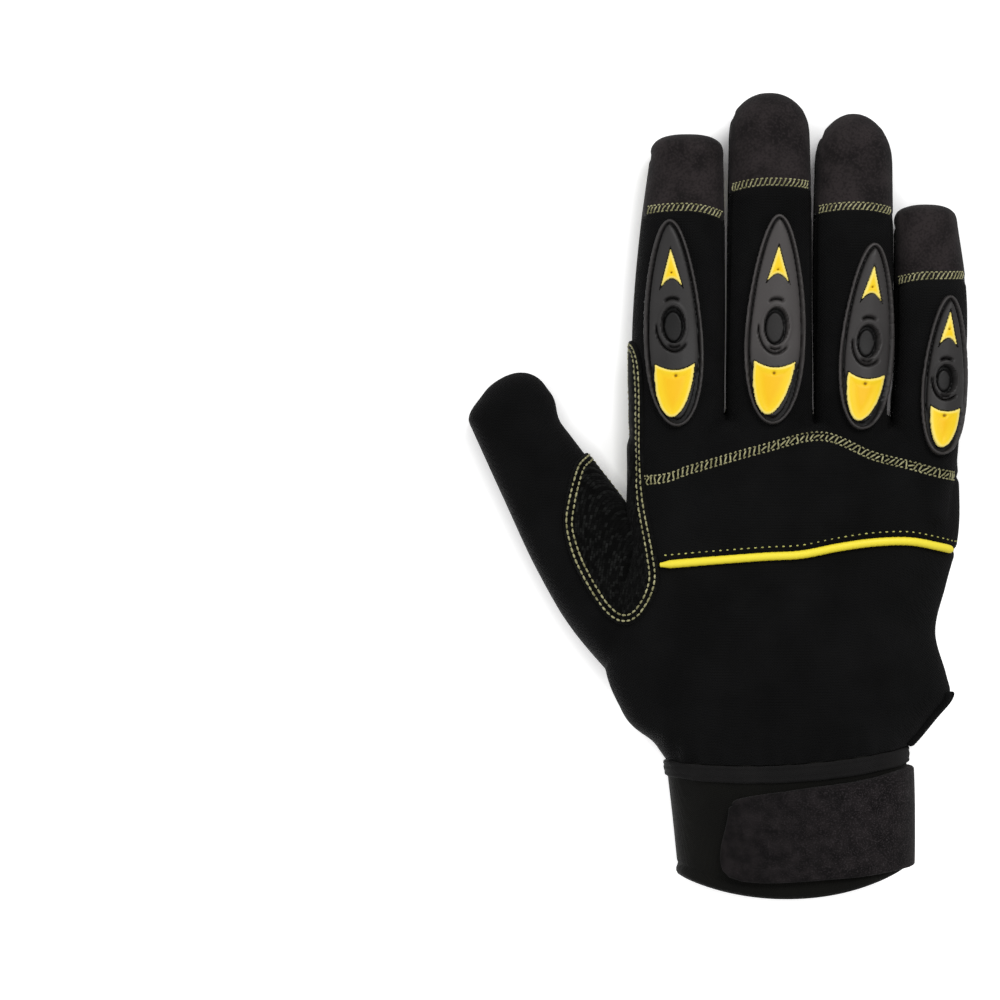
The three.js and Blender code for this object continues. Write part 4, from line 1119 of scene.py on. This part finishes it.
whole_hand = hand_skin()
whole_hand["points"] = whole_hand["points"] + whole_hand["normals"] * folds(whole_hand)[:, None]
whole_hand["normals"] = point_normals(whole_hand["points"], whole_hand["faces"])
add_fields(whole_hand)
whole_hand = cut_through(whole_hand, "hand")
whole_hand = only(whole_hand, above(whole_hand, "hand"))
hand, panel_of = tone_hand(dict(whole_hand))
sunk = 0.5 * ridge(hand["seam"], 0.9) - 0.12 * ridge(hand["seam"] - 2.2, 1.2)
hand["outer"] = hand["points"] - hand["normals"] * sunk[:, None]
hand["inner"] = hand["points"] - hand["normals"] * WALL


def panel(name, faces, finish, slot, stands_for):
    wall_piece(name, only(hand, faces), finish, slot, stands_for, "seam")


def label(name):
    return panel_of == PIECES.index(name)


face_middle = hand["points"][hand["faces"]].mean(axis=1)
face_finger = np.round(hand["finger"][hand["faces"]].mean(axis=1)).astype(int)
panel("palm_leather", label("palm"), PALM_SUEDE, "suede_leather", "palm_panel")
panel("finger_back_knit", label("fingers"), BLACK_KNIT, "stretch_knit", "finger_back_panel")
panel("knuckle_knit", label("knuckles"), BLACK_KNIT, "stretch_knit", "knuckle_panel")
panel("hand_back_knit", label("back"), BLACK_KNIT, "stretch_knit", "hand_back_panel")
for place, finger in enumerate(FINGERS):
    name = finger["name"]
    mine = label("cap") & (face_finger == place)
    panel(f"{name}_cap_suede", mine, SUEDE, "suede_leather", f"{name}_tip_cap")
for place, name in enumerate(["index_middle_fork", "middle_ring_fork", "ring_little_fork"]):
    between = (face_middle[:, 0] > AXES[place]) & (face_middle[:, 0] <= AXES[place + 1])
    panel(f"{name}_knit", label("fork") & between, BLACK_KNIT, "stretch_knit", name)


# Grip patches


def profile(places, heights):
    """A height for raised(): it depends on the way to the edge."""
    return lambda skin: np.interp(skin["edge"], places, heights)


patch_profile = profile(
    [0, 0.2, 0.45, 0.75, 1.1, 1.45, 2.0, 2.45, 2.8, 3.15, 5],
    [0.35, 0.85, 1.1, 1.1, 0.8, 1.12, 1.15, 1.12, 0.82, 1.15, 1.25],
)
PATCH_LEVELS = [0.2, 0.45, 0.75, 1.1, 1.45, 2.45, 2.8, 3.15]
ROWS = (1.1, 2.8)  # where the two rows of stitches run inside a patch's edge


def inside_of(outline):
    """How far the hand's points lie inside an outline, given by its corners in millimetres."""
    return outline_distance(whole_hand["points"], smooth_line(outline, 6, True))


underside = LOWER_SEAM_Z - whole_hand["points"][:, 2]
pads = {"upper": UPPER_PAD, "side": SIDE_PAD, "heel": HEEL_PAD}
for name, rows in pads.items():
    whole_hand[name] = inside_of(on_palm(rows))


def palm_height(skin):
    height = patch_profile(skin)
    for name in pads:
        height = height + 0.22 * step_up(skin[name], 0.0, 1.0)
        height = height - 0.3 * ridge(skin[name] + 0.5, 0.45)
    return height


def rows_inside(patch, pitch, thick):
    """The two rows of stitches along a patch's edge."""
    rows = []
    for row in ROWS:
        rows.append(stitches(lines_at(patch, patch["edge"], row, patch["outer"]), pitch, 1.7, thick))
    return rows


palm_field = np.minimum(inside_of(on_palm(PALM_PATCH)), underside)
palm_grip = raised(whole_hand, palm_field, PATCH_LEVELS, palm_height)
palm_pad = wall_piece("palm_grip_cloth", palm_grip, GRIP, "grip_fabric", "palm_grip_patch", "edge")
patch_threads = rows_inside(palm_grip, 2.0, 0.55)
for name in pads:
    for level in (-0.5, -2.2) if name == "upper" else (-0.5,):
        lines = lines_at(palm_grip, palm_grip[name], level, palm_grip["outer"])
        patch_threads.append(stitches(lines, 1.9, 1.6, 0.45))

for name, rows in FINGER_PATCHES.items():
    finger = next(f for f in FINGERS if f["name"] == name)
    rows = np.array(rows)
    y = CROTCH_Y + rows[:, 0] * finger["reach"] * FINGER_LENGTH
    sides = [np.stack([finger["axis"] * PITCH + rows[:, k] * FINGER_WIDTH / 2, y], axis=1) for k in (1, 2)]
    field = np.minimum(inside_of(np.concatenate([sides[0], sides[1][::-1]])), underside)
    patch = raised(whole_hand, field, PATCH_LEVELS, patch_profile)
    wall_piece(f"{name}_grip_cloth", patch, GRIP, "grip_fabric", f"{name}_grip_patch", "edge")
    patch_threads += rows_inside(patch, 2.0, 0.55)
thread_piece("palm_side_stitches", patch_threads, LIME_THREAD)

saddle_field = np.minimum(inside_of(on_palm(SADDLE_PATCH)), whole_hand["points"][:, 2] - THUMB_SEAM_Z)
saddle = raised(whole_hand, saddle_field, PATCH_LEVELS, patch_profile)
wall_piece("saddle_grip_cloth", saddle, SHADED_SADDLE_GRIP, "grip_fabric", "saddle_patch", "edge")
thread_piece("saddle_stitches", rows_inside(saddle, 1.85, 0.6), THREAD)


# Stitched bands on the back


def on_top(points):
    return points[:, 2] > UPPER_SEAM_Z + 0.5


def way_past(table):
    """How far the hand's points lie beyond a line across the hand."""
    return whole_hand["points"][:, 1] - line_height(table, whole_hand["points"][:, 0])


# Each row of a band: its place, and the length and the slant of its stitches
band_threads = []
caps = only(hand, label("cap"))
for row, length, slant in ((1.5, 2.2, 62), (0.55, 0.95, 8), (2.5, 0.95, 8)):
    lines = lines_at(caps, caps["cap"], row, caps["outer"])
    band_threads.append(stitches(lines, 1.45, length, 0.42, slant=slant, wobble=7, arch=0.16, where=on_top))
thread_piece("cap_stitches", band_threads, THREAD)


BACK_Z = 22  # the back of the hand lies above this height


def on_knuckles(points):
    return (points[:, 2] > BACK_Z + 2) & (points[:, 0] > PALM_LEFT + 5)


def on_back(points):
    return (points[:, 2] > BACK_Z) & (points[:, 0] > -33)


knuckle_threads = []
for row, length, slant in ((0.0, 2.4, 60), (-1.2, 1.0, 6), (1.2, 1.0, 6)):
    lines = lines_at(whole_hand, way_past(KNUCKLE_LINE), row, whole_hand["points"])
    threads = stitches(lines, 1.5, length, 0.47, slant=slant, wobble=17, arch=0.22, where=on_knuckles)
    knuckle_threads.append(threads)
thread_piece("knuckle_stitches", knuckle_threads, THREAD)

dotted = lines_at(whole_hand, way_past(PIPING_LINE), 2.9, whole_hand["points"])
thread_piece("piping_stitches", [stitches(dotted, 2.1, 0.9, 0.4, arch=0.12, where=on_back)], LIME_THREAD)


# Laid on the skin

hand_tree = BVHTree.FromPolygons(whole_hand["points"].tolist(), whole_hand["faces"].tolist())


def laid_on(starts, way, skin, tree):
    """The skin's point and normal that are met from each start in one direction."""
    found, ups = [], []
    for start in starts.tolist():
        hit, _, face, _ = tree.ray_cast(Vector(start), Vector(way))
        if hit is None:
            hit, _, face, _ = tree.find_nearest(Vector(start) + Vector(way) * 60)
        corners = skin["points"][skin["faces"][face]]
        across = [corners[k] - np.array(hit) for k in range(3)]
        shares = [np.linalg.norm(np.cross(across[(k + 1) % 3], across[(k + 2) % 3])) for k in range(3)]
        weights = np.array(shares) / max(sum(shares), 1e-12)
        found.append(tuple(hit))
        ups.append((skin["normals"][skin["faces"][face]] * weights[:, None]).sum(axis=0))
    return np.array(found), unit(np.array(ups))


def from_above(places):
    """The hand's points and normals under places seen from above."""
    starts = np.column_stack([places, np.full(len(places), 78.0)])
    return laid_on(starts, (0, 0, -1), whole_hand, hand_tree)


CORD_SIDES = 14
CORD_ROUNDS = 12  # how often a cord's line is smoothed


def cord(name, found, ups, radius, rise, finish, slot, stands_for=()):
    """A round cord along points of a skin, without the skin's small kinks."""
    for _ in range(CORD_ROUNDS):
        found[1:-1] = (found[:-2] + found[1:-1] * 2 + found[2:]) / 4
        ups[1:-1] = ups[:-2] + ups[1:-1] * 2 + ups[2:]
        ups = unit(ups)
    way = unit(np.gradient(found, axis=0))
    side = np.cross(ups, way)
    turn = np.arange(CORD_SIDES) * 2 * np.pi / CORD_SIDES
    share = np.linspace(0, 1, len(found))
    fat = radius * (1 - 0.45 * ridge(share, 0.015) - 0.45 * ridge(1 - share, 0.015))
    fat = fat * (1 + 0.025 * np.sin(np.arange(len(found)) * 1.9))
    rings = (
        (found + ups * rise)[:, None]
        + ups[:, None] * np.sin(turn)[None, :, None] * fat[:, None, None]
        + side[:, None] * np.cos(turn)[None, :, None] * fat[:, None, None]
    )
    points, faces = closed_loft(rings)
    # The edge value runs from the cord's underside to its top; the piping's finish paints shade below and a
    # highlight above with it.
    edge = np.concatenate([np.tile(1.2 + np.sin(turn) * 1.4, len(rings)), [1, 1]])
    triangles = []
    for face in faces:
        triangles.append((face[0], face[2], face[1]))
        if len(face) == 4:
            triangles.append((face[0], face[3], face[2]))
    make_piece(name, points, triangles, finish, stands_for, {"edge": edge}, 80)


# The piping starts and ends a little inside of its seam
piping_line = smooth_line(on_palm([(0.1, 0.577)] + PIPING_LINE[1:-1] + [(0.972, 0.623)]), 20)
cord("piping_cord", *from_above(piping_line), 1.25, 0.85, PIPING, "yellow_piping", ["knuckle_piping"])


# The guards

# How strong the painted sheen is that lightens each boss towards its top, the hole's place along the guard
# in millimetres, the arrow's length and the scoop's width as shares of the usual ones, how far the arrow
# sits nearer to the tip, and how far the scoop's lower end leans to the thumb's side
GUARD_LOOKS = {
    "index": (0.1, -0.9, 1.18, 0.98, 0.0, 1.4),
    "middle": (0.66, -2.4, 1.12, 0.98, -0.4, 1.4),
    "ring": (0.3, -1.9, 1.22, 0.95, 1.2, 1.0),
    "little": (0.12, -1.5, 1.4, 0.87, 2.2, 0.3),
}
GUARD_BREADTH = 0.86  # the guards' width as a share of the solids'
GUARD_STEP = 0.33
HOLE = (3.3, 5.9)  # half the width and half the length of a guard's hole
# Crescents round the hole: scale of their oval, start and end in degrees, width and depth
CRESCENTS = ((1.42, 62, 122, 0.34, 1.8), (1.42, 172, 318, 0.3, 1.6), (1.2, 240, 300, 0.3, 1.6))


def guard_outline(size):
    """A drop that is broad near the knuckle and narrow near the tip."""
    v = -np.cos(np.linspace(0, np.pi, 61))
    breadth = (1 - v * v) ** 0.47 * (1 - 0.21 * v) * GUARD_BREADTH * size * GUARD_WIDTH / 2
    right = np.stack([breadth, v * size * GUARD_LENGTH / 2], axis=1)
    left = right[1:-1][::-1] * [-1, 1]
    return np.concatenate([right, left])


def arrow_outline(size, stretch, up):
    length = 0.176 * GUARD_LENGTH * size * stretch
    width = 0.35 * GUARD_WIDTH * size
    top = 0.365 * GUARD_LENGTH * size + up
    notch = np.linspace(-1, 1, 13)
    below = top - length + 0.26 * length * (1 - np.abs(notch) ** 1.7)
    base = np.stack([notch * width * 0.5, below], axis=1)
    return np.concatenate([[[0, top]], base])


def scoop_outline(size, breadth, lean):
    half = 0.345 * GUARD_WIDTH * size * GUARD_BREADTH * breadth
    top = -0.2 * GUARD_LENGTH * size
    length = 0.258 * GUARD_LENGTH * size
    across = np.linspace(1, -1, 17)
    rim = np.stack([across * half, top - 0.13 * length * (1 - across**2)], axis=1)
    angle = np.pi + np.pi * np.arange(1, 28) / 28
    bowl = np.stack([half * np.cos(angle) + lean * np.sin(angle), top + length * np.sin(angle)], axis=1)
    return np.concatenate([rim, bowl])


def flat_grid(outline, step):
    """A flat skin of small faces that covers an outline."""
    low, high = outline.min(axis=0) - step, outline.max(axis=0) + step
    u = np.arange(low[0], high[0] + step, step)
    v = np.arange(low[1], high[1] + step, step)
    points = np.stack(np.meshgrid(u, v, indexing="xy"), axis=2).reshape(-1, 2)
    a, b, c, d = corners_between(len(v), len(u), closed=False)
    faces = np.concatenate([np.stack([a, b, c], axis=1), np.stack([a, c, d], axis=1)])
    points = np.concatenate([points, np.zeros((len(points), 1))], axis=1)
    return dict(points=points, faces=faces)


def on_finger(flat, finger):
    """The skin's points and normals under a flat guard that is laid on its finger."""
    across, along, _, turn = GUARDS[finger["name"]]
    middle = (finger["axis"] * PITCH + across * FINGER_WIDTH / 2, CROTCH_Y + along * FINGER_LENGTH)
    c, s = math.cos(math.radians(turn)), math.sin(math.radians(turn))
    x, y = flat[:, 0], flat[:, 1]
    return from_above(np.stack([x * c - y * s, x * s + y * c], axis=1) + middle)


def inside_oval(u, v, a, b):
    """Roughly how far a place lies inside an oval."""
    return (1 - np.hypot(u / a, v / b)) * 0.5 * (a + b)


def crescent(u, v, a, b, start, end, width):
    """A groove along part of an oval round the guard's hole."""
    angle = np.degrees(np.arctan2(v / b, u / a)) % 360
    ends = step_up(angle, start, start + 14) * (1 - step_up(angle, end - 14, end))
    return ridge(inside_oval(u, v, a, b), width) * ends


def guard_height(skin, size, hole_at):
    inset, u, v = skin["inset"], skin["points"][:, 0], skin["points"][:, 1]
    height = np.interp(
        inset,
        [0, 0.12, 0.35, 0.7, 0.9, 1.1, 1.45, 1.65, 1.95, 2.6, 6.0],
        [1.5, 2.0, 2.3, 2.3, 1.95, 1.15, 1.1, 2.3, 2.8, 3.05, 3.35],
    )
    beside = step_up(-v, 0.2 * GUARD_LENGTH * size, 0.25 * GUARD_LENGTH * size)
    beside = beside * (1 - step_up(inset, 2.1, 2.5)) * step_up(inset, 0.9, 1.1)
    height = height - beside * np.maximum(height - 1.1, 0)
    a, b = HOLE[0] * size, HOLE[1] * size
    v = v - hole_at
    off = inside_oval(u, v, a, b)
    hole = step_up(off, -0.08, 0.3)
    # The hole's floor rises towards its lower left, so the rubber's height-based darkening also paints
    # shade into its upper right.
    floor = 0.85 + 0.55 * step_up(off - 0.35 * u / a - 0.3 * v / b, 0.7, 1.3)
    height = height + 0.2 * ridge(off + 0.7, 0.35)
    for scale, start, end, width, depth in CRESCENTS:
        height -= depth * crescent(u, v, a * scale, b * scale, start, end, width)
    height = height * (1 - hole) + floor * hole
    pocket = np.maximum(step_up(skin["arrow"], -0.12, 0.12), step_up(skin["scoop"], -0.12, 0.12))
    return height * (1 - pocket) + 1.9 * pocket


def insert_height(skin, size, kind, arrow_up):
    """The height of an arrow or a scoop over the skin, and where its pinhole is."""
    edge, u, v = skin["edge"], skin["points"][:, 0], skin["points"][:, 1]
    height = np.interp(edge, [0, 0.12, 0.35, 0.8, 3], [2.75, 3.05, 3.2, 3.27, 3.42])
    dot_v = 0.24 * GUARD_LENGTH * size + arrow_up if kind == "arrow" else -0.262 * GUARD_LENGTH * size
    dot = ridge(np.hypot(u, v - dot_v), 0.3 if kind == "arrow" else 0.5)
    if kind == "scoop":
        height = height - 0.3 * step_up(edge, 0.6, 2.4)
    return height - 0.9 * dot, dot


def guard_pieces(finger):
    """The rubber guard of a finger with its two yellow inserts."""
    name = finger["name"]
    size = GUARDS[name][2]
    light, hole_at, arrow_length, scoop_breadth, arrow_up, lean = GUARD_LOOKS[name]
    outlines = {
        "inset": guard_outline(size),
        "arrow": arrow_outline(size, arrow_length, arrow_up),
        "scoop": scoop_outline(size, scoop_breadth, lean),
    }
    skin = flat_grid(outlines["inset"], GUARD_STEP)
    for key, outline in outlines.items():
        skin[key] = outline_distance(skin["points"], outline)
    skin = cut_through(skin, "inset")
    skin = only(skin, above(skin, "inset"))
    skin = cut_at_levels(skin, "inset", [0.12, 0.35, 0.7, 1.1, 1.45, 1.65, 1.95])
    for key in ("arrow", "scoop"):
        skin = cut_at_levels(skin, key, [-0.12, 0.12])
    skin["height"] = guard_height(skin, size, hole_at)
    # Painted sheen: each boss grows lighter towards its top by its share in GUARD_LOOKS, and a painted
    # highlight runs along the raised rim.
    tone = light * step_up(skin["points"][:, 1], -0.42 * GUARD_LENGTH, -0.1 * GUARD_LENGTH)
    skin["tone"] = tone + 0.55 * (skin["inset"] < 1.0)
    found, ups = on_finger(skin["points"], finger)
    skin["outer"] = found + ups * skin["height"][:, None]
    skin["inner"] = found - ups * 0.3
    wall_piece(f"{name}_guard_rubber", skin, RUBBER, "guard_rubber", f"{name}_guard", "height", "tone")
    for kind in ("arrow", "scoop"):
        part = flat_grid(outlines[kind], GUARD_STEP * 0.7)
        part["edge"] = outline_distance(part["points"], outlines[kind]) - 0.1
        part = cut_through(part, "edge")
        part = only(part, above(part, "edge"))
        part = cut_at_levels(part, "edge", [0.12, 0.35, 0.8])
        found, ups = on_finger(part["points"], finger)
        lift, part["dot"] = insert_height(part, size, kind, arrow_up)
        part["outer"] = found + ups * lift[:, None]
        part["inner"] = found + ups * 1.7
        piece_name = f"{name}_guard_{kind}"
        wall_piece(f"{piece_name}_rubber", part, YELLOW, "yellow_rubber", piece_name, "edge", "dot")


for finger in FINGERS:
    guard_pieces(finger)


# The cuff


def cuff_skin(rows=46, sides=220):
    """The cuff's outer skin, with the share of its length that each point has."""
    share = np.linspace(0, 1, rows)
    width = CUFF_MOUTH_WIDTH + (CUFF_WIDTH - CUFF_MOUTH_WIDTH) * share
    rings = form_rings(
        x=CUFF_LEFT + CUFF_WIDTH - width / 2,
        y=share * CUFF_LENGTH,
        half=width / 2,
        height=np.full(rows, CUFF_HEIGHT),
        squareness=PALM_SQUARENESS,
        rise=7 + (CUFF_RISE - 7) * share,
        tilt=1.5 + (CUFF_TILT - 1.5) * share,
        sides=sides,
    )
    points = rings.reshape(-1, 3)
    a, b, c, d = corners_between(rows, sides)
    faces = np.concatenate([np.stack([a, c, b], axis=1), np.stack([a, d, c], axis=1)])
    normals = point_normals(points, faces)
    if (normals * (points - points.mean(axis=0))).sum() < 0:
        faces = faces[:, ::-1].copy()
        normals = -normals
    lengths = np.repeat(share, sides) * CUFF_LENGTH
    return dict(points=points, normals=normals, faces=faces, length=lengths)


cuff = cuff_skin()
cx, cy, cz = cuff["points"].T
from_hand = CUFF_LENGTH - cuff["length"]
# Small gathers near the hand, and soft waves over the back
ripple = 0.35 * np.sin(cx * 0.55 + 0.5 * np.sin(cy * 0.2)) * ridge(from_hand, 14)
soft = 0.3 * np.sin(cx * 0.13 + cy * 0.11) * step_up(cuff["normals"][:, 2], 0, 0.5)
cuff["points"] = cuff["points"] + cuff["normals"] * ((ripple + soft) * step_up(cz, 3, 10))[:, None]
cuff["normals"] = point_normals(cuff["points"], cuff["faces"])
# A bound edge with a groove beside it, and rounded rims
bound = 0.55 * ridge(cuff["length"] - 2.0, 1.6) - 0.35 * ridge(cuff["length"] - 4.2, 0.7)
bound -= 0.9 * ridge(cuff["length"], 0.6)
bound -= 0.5 * ridge(from_hand, 0.8)
inner_round = 0.9 * ridge(cuff["length"], 0.7)
cuff_wall = dict(
    cuff,
    outer=cuff["points"] + cuff["normals"] * (bound * step_up(cz, 1.6, 4))[:, None],
    inner=cuff["points"] - cuff["normals"] * (CUFF_WALL - inner_round)[:, None],
)
wall_piece("cuff_neoprene", cuff_wall, NEOPRENE, "neoprene", "cuff")

hem_profile = profile([0, 0.3, 0.8, 1.2, 2.2], [0.35, 0.75, 0.85, 0.7, 0.95])


def hem_height(skin):
    return hem_profile(skin) * step_up(skin["points"][:, 2], 1.5, 5) + 0.1


hem_field = np.minimum(0.3 + HEM_WIDTH - from_hand, from_hand - 0.3)
hem = raised(cuff, hem_field, [0.3, 0.8, 1.2], hem_height)
wall_piece("hem_band_cloth", hem, HEM, "hem_band", "cuff_hem_band")

strap_outline = smooth_line([(CUFF_LEFT + u * CUFF_WIDTH, v * CUFF_LENGTH) for u, v in STRAP], 6, True)
strap_field = outline_distance(cuff["points"], strap_outline)
strap_field = np.minimum(strap_field, cuff["points"][:, 2] - 0.3 * CUFF_HEIGHT)
strap_profile = profile([0, 0.25, 0.6, 1.0, 4], [1.2, 1.9, 2.2, 2.25, 2.3])
strap = raised(cuff, strap_field, [0.25, 0.6, 1.0], strap_profile)
strap["right"] = (strap["points"][:, 0] - CUFF_LEFT) / CUFF_WIDTH
wall_piece("closure_strap_cloth", strap, LOOP, "loop_fabric", "closure_strap", "right")

# Binding along the outer side of the wrist: two cords from the hand's edge down to the hem band
wrist_skin = dict(
    points=np.concatenate([whole_hand["points"], hem["outer"]]),
    normals=np.concatenate([whole_hand["normals"], hem["normals"]]),
    faces=np.concatenate([whole_hand["faces"], hem["faces"] + len(whole_hand["points"])]),
)
wrist_tree = BVHTree.FromPolygons(wrist_skin["points"].tolist(), wrist_skin["faces"].tolist())
BINDING_ENDS = (61.5, 45.6)  # places along the hand
for name, height in (("outer_binding_cloth", 22.5), ("inner_binding_cloth", 26.5)):
    y = np.linspace(*BINDING_ENDS, 60)
    starts = np.stack([np.full(60, 100.0), y, height + 2.5 * step_up(-y, -58, -42)], axis=1)
    cord(name, *laid_on(starts, (-1, 0, 0), wrist_skin, wrist_tree), 1.2, 0.35, BLACK_KNIT, "stretch_knit")


# Floor, light and camera

FLOOR_GLOW = 0.62  # makes the floor white in the open and leaves it dark in narrow gaps
SKY = 0.64  # strength of the light from all around


def floor_finish():
    """A pale floor that shows only from above, so that the palm side can be looked at from below."""
    material = bpy.data.materials.new("pale_floor")
    material.use_nodes = True
    tree = material.node_tree
    shader = tree.nodes["Principled BSDF"]
    pale, white = (0.92, 0.92, 0.92, 1), (1, 1, 1, 1)
    looks = dict(Base_Color=pale, Roughness=0.9, Specular_IOR_Level=0.0, Emission_Color=white)
    set_sockets(tree, shader, looks)
    open_air = add_node(tree, "AmbientOcclusion", Distance=0.009)
    glow = sums(tree, "MULTIPLY", sums(tree, "POWER", open_air.outputs["AO"], 2.0), FLOOR_GLOW)
    set_sockets(tree, shader, dict(Emission_Strength=glow))
    behind = add_node(tree, "NewGeometry").outputs["Backfacing"]
    seen = add_node(tree, "LightPath").outputs["Is Camera Ray"]
    hidden = sums(tree, "MAXIMUM", behind, sums(tree, "SUBTRACT", 1.0, seen))
    choice = add_node(tree, "MixShader", Fac=hidden)
    tree.links.new(shader.outputs[0], choice.inputs[1])
    tree.links.new(add_node(tree, "BsdfTransparent").outputs[0], choice.inputs[2])
    tree.links.new(choice.outputs[0], tree.nodes["Material Output"].inputs[0])
    return material


floor_mesh = bpy.data.meshes.new("floor")
floor_corners = [(x, y, -0.0005) for x, y in ((-3, -3), (3, -3), (3, 3), (-3, 3))]
floor_mesh.from_pydata(floor_corners, [], [(0, 1, 2, 3)])
floor_mesh.materials.append(floor_finish())
floor = bpy.data.objects.new("floor", floor_mesh)
bpy.context.scene.collection.objects.link(floor)


def soft_box(name, place, size, power):
    """A square light that shines at the glove."""
    light = bpy.data.lights.new(name, "AREA")
    light.size = size
    light.energy = power
    lamp = bpy.data.objects.new(name, light)
    lamp.location = place
    lamp.rotation_mode = "QUATERNION"
    lamp.rotation_quaternion = (-Vector(place)).to_track_quat("-Z", "Y")
    bpy.context.scene.collection.objects.link(lamp)


soft_box("key_light", (0.45, 0.8, 1.05), 0.6, 10)
soft_box("fill_light", (-0.9, -0.2, 1.0), 0.9, 4.5)
soft_box("low_light", (-0.2, -0.4, -1.0), 1.2, 12)
world = bpy.data.worlds.new("studio")
world.use_nodes = True
set_sockets(world.node_tree, world.node_tree.nodes["Background"], dict(Color=(1, 1, 1, 1), Strength=SKY))
bpy.context.scene.world = world
bpy.context.scene.view_settings.view_transform = "Standard"

camera_data = bpy.data.cameras.new("camera")
camera_data.lens = 175
camera_data.sensor_width = 36
camera_data.clip_end = 20
camera = bpy.data.objects.new("camera", camera_data)
camera.location = (-0.0659, -0.0025, 1.5)
bpy.context.scene.collection.objects.link(camera)
bpy.context.scene.camera = camera
